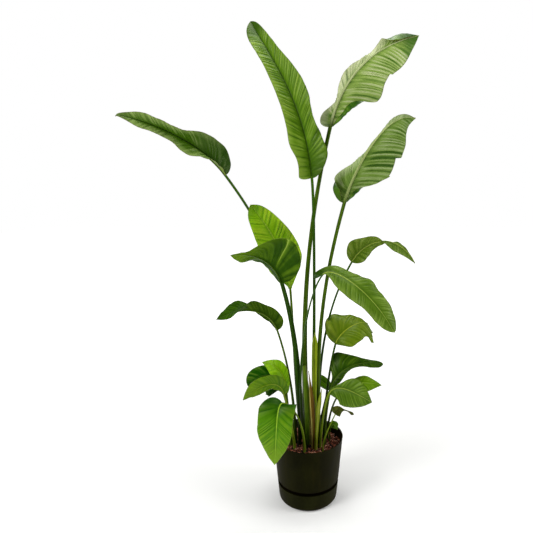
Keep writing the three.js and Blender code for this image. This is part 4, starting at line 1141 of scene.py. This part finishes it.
# %% The rolled shoots
SHOOTS = {
    "spear": {
        "foot": [27, -26], "knee": [26, -22, 430], "neck": [25, -20, 620], "tip": [29, -16, 735],
        "girth": [17, 24, 3], "widest": 0.88, "lap": [0.9, 0.35],
    },
    "old_sheath": {
        "foot": [33, -56], "knee": [36, -52, 330], "neck": [40, -48, 420], "tip": [56, -46, 502],
        "girth": [14, 17, 3], "widest": 0.72, "lap": [1.2, 0.2],
    },
    "clasping_sheath": {
        "foot": [0, -20], "knee": [-1, -19, 400], "neck": [-5, -17, 480], "tip": [-16, -12, 590],
        "girth": [24, 26, 14], "widest": 0.6, "lap": [0.4, -0.1],
    },
    "papery_sheath": {
        "foot": [22, -46], "knee": [22, -45, 350], "neck": [19, -40, 450], "tip": [2, -30, 575],
        "girth": [18, 21, 3], "widest": 0.5, "lap": [2.0, 0.1],
    },
}
print(len(SHOOTS), "rolled shoots")

# %% [markdown]
# All are a leaf rolled round itself, so the section is a spiral rather than a circle: the outer lap ends in
# an edge that runs the whole length, and that one line is what makes it read as rolled.
# LAP_RISE is how far the outer edge stands out and LAP_SINK how far the skin dips before it, each as a share
# of the radius and with the angle over which it fades. LAP_WIND turns the table's winding into an angle.

# %% Roll a shoot
SHOOT_SIDES = 36
SHOOT_RINGS, SHOOT_SOIL_RINGS = 140, 14
LAP_RISE, LAP_SINK, LAP_WIND = (0.1, 0.25), (0.06, 0.2), 2.5


def rolled_shoot(name, shoot):
    foot = [*shoot["foot"], BEND_LEVEL]
    at, way, length = even_curve((foot, shoot["knee"], shoot["neck"], shoot["tip"]), SHOOT_RINGS)
    levels = np.linspace(HOLE_FLOOR, BEND_LEVEL, SHOOT_SOIL_RINGS)[:-1, None]
    low = np.array([*shoot["foot"], 0]) + np.array([0, 0, 1]) * levels
    side = carry_side(way, np.array([0.2, -1, 0.0]))
    u = np.concatenate([np.zeros(len(low)), np.linspace(0, 1, len(at))])
    at, way, side = np.concatenate([low, at]), carried_down(way, len(low)), carried_down(side, len(low))
    soil_girth, widest, end = shoot["girth"]
    place = shoot["widest"]
    radius = np.where(
        u < place,
        soil_girth + (widest - soil_girth) * smooth(u, 0, place),
        widest + (end - widest) * smooth(u, place, 1.0) ** 1.2,
    ) / 2
    turn = np.linspace(0, 2 * math.pi, SHOOT_SIDES, endpoint=False)
    seam = shoot["lap"][0] + shoot["lap"][1] * LAP_WIND * u[:, None]
    behind = (turn - seam) % (2 * math.pi)
    lap = 1 + LAP_RISE[0] * np.exp(-behind / LAP_RISE[1])
    lap = lap - LAP_SINK[0] * np.exp(-(2 * math.pi - behind) / LAP_SINK[1])
    reach = radius[:, None] * lap * 0.97
    across = np.cross(way, side)
    points = (
        at[:, None] + across[:, None] * (np.cos(turn) * reach)[..., None]
        + side[:, None] * (np.sin(turn) * reach)[..., None]
    )
    run = length_along(at)[:, None]
    facts = {
        "vein": np.stack([turn * reach, run + 0 * reach, 0 * reach], -1).reshape(-1, 3),
        "place": np.stack([at[:, 2:3] + 0 * reach, 0 * reach, behind], -1).reshape(-1, 3),
    }
    quads, bottom, top = tube_faces(*points.shape[:2])
    faces = [*quads, bottom, top]
    piece = make_mesh(f"{name}_rolled", points.reshape(-1, 3), faces, [0] * len(faces), facts)
    print(name, "is", round(length), "mm long above the soil")
    return piece


print("a shoot has", SHOOT_RINGS + SHOOT_SOIL_RINGS - 1, "rings of", SHOOT_SIDES, "points")

# %% [markdown]
# A rolled leaf is striped lengthwise, as a stalk is. The line along its outer edge is dark on the spear and
# pale on the other three, where that edge has dried. Only the spear and the shorter shoot stand for pieces
# of the packed model. The two sheaths are thin and loose, so they are added here.

# %% Skin of the shoots
def shoot_skin(name, deep, middle, pale, seam):
    recipe = Recipe(name, 0.4, LEAF_PAINT, Specular_IOR_Level=0.15, Specular_Tint=light_of("e4e8a0"))
    vein, _ = recipe.parts_of("vein")
    _, (_, _, behind) = recipe.parts_of("place")
    stripes = recipe.grain(vein, (0.4, 0.006, 0.0), 3.0)
    clouds = recipe.grain(vein, (0.05, 0.015, 0.0), 3.0)
    tone = recipe.math("MULTIPLY_ADD", stripes, 0.6, recipe.times(clouds, 0.5))
    colour = recipe.ramp(tone, [(0.3, deep), (0.55, middle), (0.8, pale)])
    colour = recipe.blend(recipe.times(recipe.fade(behind, 1.1, 0.1), 0.85), colour, seam)
    return recipe.finish(colour, stripes, 0.0006, 0.5, recipe.fade(clouds, 0.2, 0.8, 0.32, 0.5))


SHOOT_TONES = {
    "spear": ("688008", "8ca018", "a8b838", "506010"),
    "old_sheath": ("5c7008", "7c8c14", "a0a848", "b0b478"),
    "clasping_sheath": ("3c5c08", "587c14", "849a38", "d0cca0"),
    "papery_sheath": ("4c340c", "6c4c1c", "a08058", "d4c8a4"),
}
for name, shoot in SHOOTS.items():
    piece = rolled_shoot(name, shoot)
    piece.data.materials.append(shoot_skin(f"{name}_skin", *SHOOT_TONES[name]))
    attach(piece, "root")
    if name in ("spear", "old_sheath"):
        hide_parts(name)

# %% [markdown]
# The planter is a thin-walled turned shape: a straight cone above, a narrower neck where it drops into the
# tray, and a rim with a small round-over. A profile spun round the middle is the natural way to make it,
# with 128 steps so that the rim is a clean curve, and small extra points where an edge is rounded.

# %% Turn the planter and the tray
TURN_STEPS = 128


def round_corners(profile, radii):
    """Swap each corner of a profile for a short arc of the given size."""
    line = []
    for i, (corner, size) in enumerate(zip(profile, radii)):
        here = np.array(corner, float)
        if not size or i in (0, len(profile) - 1):
            line.append(here)
            continue
        before = here + unit(np.array(profile[i - 1], float) - here) * size
        after = here + unit(np.array(profile[i + 1], float) - here) * size
        for t in np.linspace(0, 1, 6):
            line.append((1 - t) ** 2 * before + 2 * (1 - t) * t * here + t**2 * after)
    return np.array(line)


def closed_faces(rings, sides):
    """The faces round a stack of rings, closed by a fan at each end. The two middles come after the rings."""
    numbers = np.arange(rings * sides).reshape(rings, sides)
    ahead = np.roll(numbers, -1, 1)
    faces = list(np.stack([numbers[:-1], ahead[:-1], ahead[1:], numbers[1:]], -1).reshape(-1, 4))
    first, last = rings * sides, rings * sides + 1
    faces += [(first, b, a) for a, b in zip(numbers[0], ahead[0])]
    faces += [(last, a, b) for a, b in zip(numbers[-1], ahead[-1])]
    return faces


def turned(name, profile):
    """Spin a profile that starts and ends on the axis into a closed solid."""
    turn = np.linspace(0, 2 * math.pi, TURN_STEPS, endpoint=False)
    inner = profile[1:-1]
    rings = np.stack([
        inner[:, :1] * np.cos(turn), inner[:, :1] * np.sin(turn), inner[:, 1:] + 0 * turn,
    ], -1)
    points = np.concatenate([rings.reshape(-1, 3), [[0, 0, profile[0][1]], [0, 0, profile[-1][1]]]])
    faces = closed_faces(len(inner), TURN_STEPS)
    return make_mesh(name, points, faces, [0] * len(faces), {})


PLANTER_PROFILE = [
    (0, 4.3), (106, 4.3), (114, 12.3), (123, 92), (130, 92), (131, 94), (146.9, 275), (147.5, 277),
    (146.5, 278), (144.5, 278), (143.9, 277), (123, 94), (120, 88), (111, 13.3), (105, 7.3), (0, 7.3),
]
PLANTER_ROUNDS = [0, 2, 2, 1.5, 0.4, 0.6, 0.6, 0.4, 0.4, 0.3, 0.3, 2, 2, 2, 2, 0]
TRAY_PROFILE = [
    (0, 0), (106, 0), (112.9, 1.4), (118.7, 5.3), (122.6, 11.1), (124, 18), (129.5, 76), (126.5, 76),
    (121, 18.6), (119.5, 12), (115, 7), (106, 4), (0, 4),
]
TRAY_ROUNDS = [0, 2, 2.5, 2.5, 2.5, 3, 0.8, 0.8, 2, 2, 2, 2, 0]
planter_piece = turned("planter_turned", round_corners(PLANTER_PROFILE, PLANTER_ROUNDS))
tray_piece = turned("water_tray_turned", round_corners(TRAY_PROFILE, TRAY_ROUNDS))
print("planter:", len(planter_piece.data.polygons), "faces, tray:", len(tray_piece.data.polygons), "faces")

# %% [markdown]
# Four drain holes go through the planter's floor. Cutting them with a boolean is what a hand with a drill
# would do, and it leaves the turned shape alone everywhere else. The cutters are thrown away afterwards.

# %% Drill the drain holes
DRAIN_RADIUS, DRAIN_CIRCLE, DRAIN_COUNT = 5, 70, 4
DRILL_LENGTH, DRILL_LEVEL = 0.02, 0.0058
for i in range(DRAIN_COUNT):
    angle = math.radians(45 + 90 * i)
    bpy.ops.mesh.primitive_cylinder_add(
        vertices=32, radius=DRAIN_RADIUS * MM, depth=DRILL_LENGTH,
        location=(DRAIN_CIRCLE * math.cos(angle) * MM, DRAIN_CIRCLE * math.sin(angle) * MM, DRILL_LEVEL),
    )
    drill = bpy.context.object
    cut = planter_piece.modifiers.new("drain", "BOOLEAN")
    cut.operation, cut.solver, cut.object = "DIFFERENCE", "EXACT", drill
    bpy.context.view_layer.objects.active = planter_piece
    bpy.ops.object.modifier_apply(modifier=cut.name)
    bpy.data.objects.remove(drill)
print("planter faces after drilling:", len(planter_piece.data.polygons))

# %% [markdown]
# Nursery pots are moulded from a dark, slightly brown green plastic that is matt but not dead: it scatters
# a faint sheen at its sides. The moulding leaves a very fine grain, and use leaves soft clouds and a few
# dusty runs down the sides. The tray is the same plastic, a shade lighter. The groove between the two is
# painted almost black as shade, since light hardly reaches into that deep gap, all but the outermost edge
# of the tray's rim. The three GROOVE pairs say, in metres, over which heights and how near the middle that
# painted shade fades in.

# %% Moulded plastic
GROOVE_FOOT, GROOVE_HEAD, GROOVE_MOUTH = (0.0748, 0.0755), (0.0935, 0.0925), (0.1286, 0.1278)
GROOVE_PAINTED_SHADE = "020201"


def moulded_plastic(name, dark, light, dust, roughness):
    recipe = Recipe(
        name, roughness, Specular_IOR_Level=0.04, Specular_Tint=light_of("e0c468"),
        Sheen_Weight=0.035, Sheen_Roughness=0.5, Sheen_Tint=light_of("b07c30"),
    )
    spot = recipe.add("ShaderNodeNewGeometry").outputs["Position"]
    clouds = recipe.grain(spot, (14.0, 14.0, 9.0), 4.0, 0.6)
    runs = recipe.grain(spot, (40.0, 40.0, 5.0), 3.0, 0.6)
    grain = recipe.grain(spot, (1100.0, 1100.0, 1100.0), 2.0, 0.6)
    colour = recipe.blend(recipe.fade(clouds, 0.3, 0.75), dark, light)
    colour = recipe.blend(recipe.times(recipe.fade(runs, 0.55, 0.8), 0.35), colour, dust)
    place = recipe.add("ShaderNodeSeparateXYZ", {"Vector": spot})
    x, y, z = place.outputs
    from_middle = recipe.math("SQRT", recipe.math("ADD", recipe.times(x, x), recipe.times(y, y)))
    height = recipe.times(recipe.fade(z, *GROOVE_FOOT), recipe.fade(z, *GROOVE_HEAD))
    inside = recipe.times(height, recipe.fade(from_middle, *GROOVE_MOUTH))
    # painted shade: the deep groove between planter and tray is painted near black
    colour = recipe.blend(inside, colour, GROOVE_PAINTED_SHADE)
    rough = recipe.fade(clouds, 0.25, 0.8, roughness - 0.08, roughness + 0.08)
    return recipe.finish(colour, grain, 0.0002, 0.35, rough)


planter_skin = moulded_plastic("planter_plastic", "0c0f04", "171906", "26200a", 0.55)
tray_skin = moulded_plastic("tray_plastic", "121506", "1e210c", "2c2a12", 0.55)
for piece, node, skin, slot_name in (
    (planter_piece, "planter", planter_skin, "planter"),
    (tray_piece, "water_tray", tray_skin, "tray"),
):
    piece.data.materials.append(skin)
    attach(piece, "root")
    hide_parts(node)
print("planter and tray are dressed")

# %% [markdown]
# The top of the pot is bark: broken reddish-brown flakes and crumbs with black gaps between them.
# A bumpy disc gives the ground they lie in, mounded a little round the crown, and the chips are real little
# solids thrown on top of it. Below the ground the soil fills the pot down to its floor.

# %% The ground in the pot
SOIL_EDGE_LEVEL, SOIL_MOUND, MOUND_SPREAD, SOIL_ROUGHNESS, SOIL_RADIUS = 234, 14, 75, 2.5, 138.7
SOIL_UNDERSIDE = [(104.5, 7.7), (110.6, 13.6), (119.6, 88), (122.6, 94.4)]
GROUND_SIDES, GROUND_RINGS, INNERMOST_RING = 160, 70, 1.5
CRUMB_PACE, CRUMB_HEIGHT = 0.25, 2.2


def soil_level(x, y):
    mound = SOIL_MOUND * np.exp(-(x**2 + y**2) / MOUND_SPREAD**2)
    lumps = np.sin(x / 9 + 1.7 * np.sin(y / 14)) * np.cos(y / 8 + 1.3 * np.sin(x / 17))
    return SOIL_EDGE_LEVEL + mound + SOIL_ROUGHNESS * (lumps + 0.6 * np.sin((x + y) / 6))


def soil_ground():
    turn = np.linspace(0, 2 * math.pi, GROUND_SIDES, endpoint=False)
    radii = np.linspace(SOIL_RADIUS, INNERMOST_RING, GROUND_RINGS)[:, None]
    x, y = radii * np.cos(turn), radii * np.sin(turn)
    z = soil_level(x, y)
    spots = zip(CRUMB_PACE * x.ravel(), CRUMB_PACE * y.ravel())
    z = z + CRUMB_HEIGHT * np.array([noise.noise((a, b, 0.0)) for a, b in spots]).reshape(z.shape)
    z[0] = SOIL_EDGE_LEVEL - 0.5
    rings = [np.stack([r * np.cos(turn), r * np.sin(turn), h + 0 * turn], -1) for r, h in SOIL_UNDERSIDE]
    rings = np.concatenate([rings, np.stack([x, y, z], -1)])
    middles = [[0, 0, SOIL_UNDERSIDE[0][1]], [0, 0, float(soil_level(0.0, 0.0))]]
    points = np.concatenate([rings.reshape(-1, 3), middles])
    return points, closed_faces(len(rings), GROUND_SIDES)


print("the crown stands", round(float(soil_level(0.0, 0.0) - SOIL_EDGE_LEVEL)), "mm above the soil's edge")

# %% [markdown]
# A chip is a thin eight-sided slab, longer than it is wide because bark splits along its grain. Its corners
# are pushed out of square, its top is a little smaller than its underside, and it lies at an angle.

# %% One bark chip
FLAKE = [(-1, -1), (0, -1.15), (1, -0.9), (1.1, 0.2), (0.9, 1), (-0.1, 1.1), (-1, 0.9), (-1.15, 0)]
TOP_SHARE = 0.82


def bark_chip(rng):
    size = rng.lognormal(-0.25, 0.4)
    long, wide, thick = size * rng.uniform(6, 12), size * rng.uniform(3.5, 6.5), size * rng.uniform(1.2, 3.2)
    corners = np.array([(x, y, z) for z in (-1, 1) for x, y in FLAKE], float)
    corners += rng.normal(0, 0.14, corners.shape)
    corners[8:, :2] *= TOP_SHARE
    corners *= np.array([long, wide, thick]) / 2
    faces = [(7, 6, 5, 4, 3, 2, 1, 0), tuple(range(8, 16))]
    faces += [(i, (i + 1) % 8, (i + 1) % 8 + 8, i + 8) for i in range(8)]
    lean, roll, turn = rng.normal(0, 0.35), rng.normal(0, 0.3), rng.uniform(0, 2 * math.pi)
    cx, sx, cy, sy, cz, sz = (f(a) for a in (lean, roll, turn) for f in (math.cos, math.sin))
    tilt = np.array([[1, 0, 0], [0, cx, -sx], [0, sx, cx]]) @ np.array([[cy, 0, sy], [0, 1, 0], [-sy, 0, cy]])
    return (corners @ tilt.T) @ np.array([[cz, sz, 0], [-sz, cz, 0], [0, 0, 1]]), faces, long / 2


print("a chip's outline has", len(FLAKE), "corners")

# %% [markdown]
# The throw is seeded, so it lands the same way each time. A chip that would lie in a stalk or stick through
# the pot's wall is skipped. Each one keeps two random numbers for its colour.

# %% Scatter the bark
STALK_FEET = [(*leaf["foot"], leaf["girth"][0] / 2) for leaf in LEAVES.values()]
STALK_FEET += [(*shoot["foot"], shoot["girth"][0] / 2) for shoot in SHOOTS.values()]
CHIP_COUNT = 2400


def scatter_bark(seed):
    rng = np.random.default_rng(seed)
    points, faces = soil_ground()
    clumps, tones = [points], [np.tile([0.0, 0.5, 0.0], (len(points), 1))]
    count = len(points)
    for _ in range(CHIP_COUNT):
        radius, angle = SOIL_RADIUS * math.sqrt(rng.uniform(0.0, 0.96)), rng.uniform(0, 2 * math.pi)
        x, y = radius * math.cos(angle), radius * math.sin(angle)
        chip, chip_faces, reach = bark_chip(rng)
        clear = all(math.hypot(x - a, y - b) > r + 0.7 * reach for a, b, r in STALK_FEET)
        if not clear or radius + reach > SOIL_RADIUS + 3:
            continue
        clumps.append(chip + [x, y, float(soil_level(x, y)) + rng.uniform(0.5, 3.5)])
        tones.append(np.tile([1.0, rng.uniform(0, 1), rng.uniform(0, 1)], (len(chip), 1)))
        faces += [tuple(i + count for i in face) for face in chip_faces]
        count += len(chip)
    return np.concatenate(clumps), faces, {"chip": np.concatenate(tones)}


soil_points, soil_faces, soil_facts = scatter_bark(5)
soil_piece = make_mesh("soil_and_bark", soil_points, soil_faces, [0] * len(soil_faces), soil_facts, False)
print("soil and bark:", len(soil_faces), "faces")

# %% [markdown]
# Bark is reddish where it is wet, pinkish tan where it has dried, and almost black in the gaps. Each chip
# carries two random numbers that pick its own shade, and a fine grain breaks up the flat faces.

# %% Bark and soil finish
def bark_finish():
    recipe = Recipe("bark_and_soil", 0.9, Specular_IOR_Level=0.25)
    _, (is_chip, shade, dryness) = recipe.parts_of("chip")
    spot = recipe.add("ShaderNodeNewGeometry").outputs["Position"]
    fibre = recipe.grain(spot, (350.0, 350.0, 900.0), 4.0, 0.65)
    crumbs = recipe.grain(spot, (160.0, 160.0, 160.0), 4.0, 0.7)
    tone = recipe.math("ADD", recipe.times(shade, 0.75), recipe.times(fibre, 0.4))
    bark = recipe.ramp(tone, [(0.1, "1e0c07"), (0.45, "54281a"), (0.75, "84462e"), (1.0, "c48c70")])
    bark = recipe.blend(recipe.times(recipe.fade(dryness, 0.78, 0.95), 0.75), bark, "c89880")
    soil = recipe.ramp(crumbs, [(0.3, "060505"), (0.55, "1c100c"), (0.8, "40281e")])
    colour = recipe.blend(is_chip, soil, bark)
    return recipe.finish(colour, fibre, 0.0008, 0.8)


soil_piece.data.materials.append(bark_finish())
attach(soil_piece, "root")
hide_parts("soil")
print("the soil is dressed")

# %% [markdown]
# The plant stands on a wide white floor. The floor glows a little by itself, more so further out, so that it
# runs into the white surround without a line, while the plant's soft shadow still shows.

# %% Floor
floor_mesh = bpy.data.meshes.new("studio_floor")
floor_mesh.from_pydata([(-9, -6, 0), (9, -6, 0), (9, 14, 0), (-9, 14, 0)], [], [(0, 1, 2, 3)])
floor = bpy.data.objects.new("studio_floor", floor_mesh)
bpy.context.scene.collection.objects.link(floor)
FLOOR_NEAR, FLOOR_FAR, GLOW_NEAR, GLOW_FAR = 0.5, 3.2, 0.12, 0.97
floor_paint = Recipe(
    "pale_floor", 0.8, Base_Color=light_of("f4f4f2"), Specular_IOR_Level=0.1, Emission_Color=(1, 1, 1, 1),
)
spot = floor_paint.add("ShaderNodeNewGeometry").outputs["Position"]
away = floor_paint.add("ShaderNodeVectorMath", {0: spot}, operation="LENGTH").outputs["Value"]
glow = floor_paint.fade(away, FLOOR_NEAR, FLOOR_FAR, GLOW_NEAR, GLOW_FAR)
floor_paint.tree.links.new(glow, floor_paint.shader.inputs["Emission Strength"])
floor_mesh.materials.append(floor_paint.material)
print("the floor glows fully from", FLOOR_FAR, "m out")

# %% [markdown]
# The surround is white to the camera but dimmer as a light, which keeps the dark pot dark.

# %% Surround
SURROUND_LIT, SURROUND_SEEN = 0.2, 1.0
world = bpy.data.worlds.new("studio")
bpy.context.scene.world = world
world.use_nodes = True
tree = world.node_tree
tree.nodes.clear()
seen = tree.nodes.new("ShaderNodeLightPath")
lit, white = tree.nodes.new("ShaderNodeBackground"), tree.nodes.new("ShaderNodeBackground")
lit.inputs["Strength"].default_value = SURROUND_LIT
white.inputs["Strength"].default_value = SURROUND_SEEN
mixed, out = tree.nodes.new("ShaderNodeMixShader"), tree.nodes.new("ShaderNodeOutputWorld")
for node in (lit, white):
    node.inputs["Color"].default_value = (1, 1, 1, 1)
tree.links.new(seen.outputs["Is Camera Ray"], mixed.inputs[0])
tree.links.new(lit.outputs[0], mixed.inputs[1])
tree.links.new(white.outputs[0], mixed.inputs[2])
tree.links.new(mixed.outputs[0], out.inputs["Surface"])
print("the surround lights the plant at", SURROUND_LIT, "of what the camera sees")

# %% [markdown]
# Three large soft lamps stand at the upper left, at the upper right and overhead, as for a catalogue picture,
# so that leaf edges that face the sides pick up a pale sheen.

# %% Lamps
def soft_lamp(name, place, aim, size, power):
    data = bpy.data.lights.new(name, "AREA")
    data.shape, data.size, data.size_y = "RECTANGLE", *size
    data.energy = power
    lamp = bpy.data.objects.new(name, data)
    lamp.location = place
    lamp.rotation_euler = (Vector(aim) - Vector(place)).to_track_quat("-Z", "Y").to_euler()
    bpy.context.scene.collection.objects.link(lamp)


soft_lamp("lamp_left", (-2.3, -1.7, 2.5), (0, 0, 1.0), (1.4, 2.0), 78)
soft_lamp("lamp_right", (2.5, -0.6, 2.2), (0, 0, 1.1), (1.2, 2.2), 42)
soft_lamp("lamp_top", (0.1, 0.3, 3.5), (0, 0, 1.0), (1.8, 1.8), 58)
bpy.context.scene.view_settings.view_transform = "Standard"
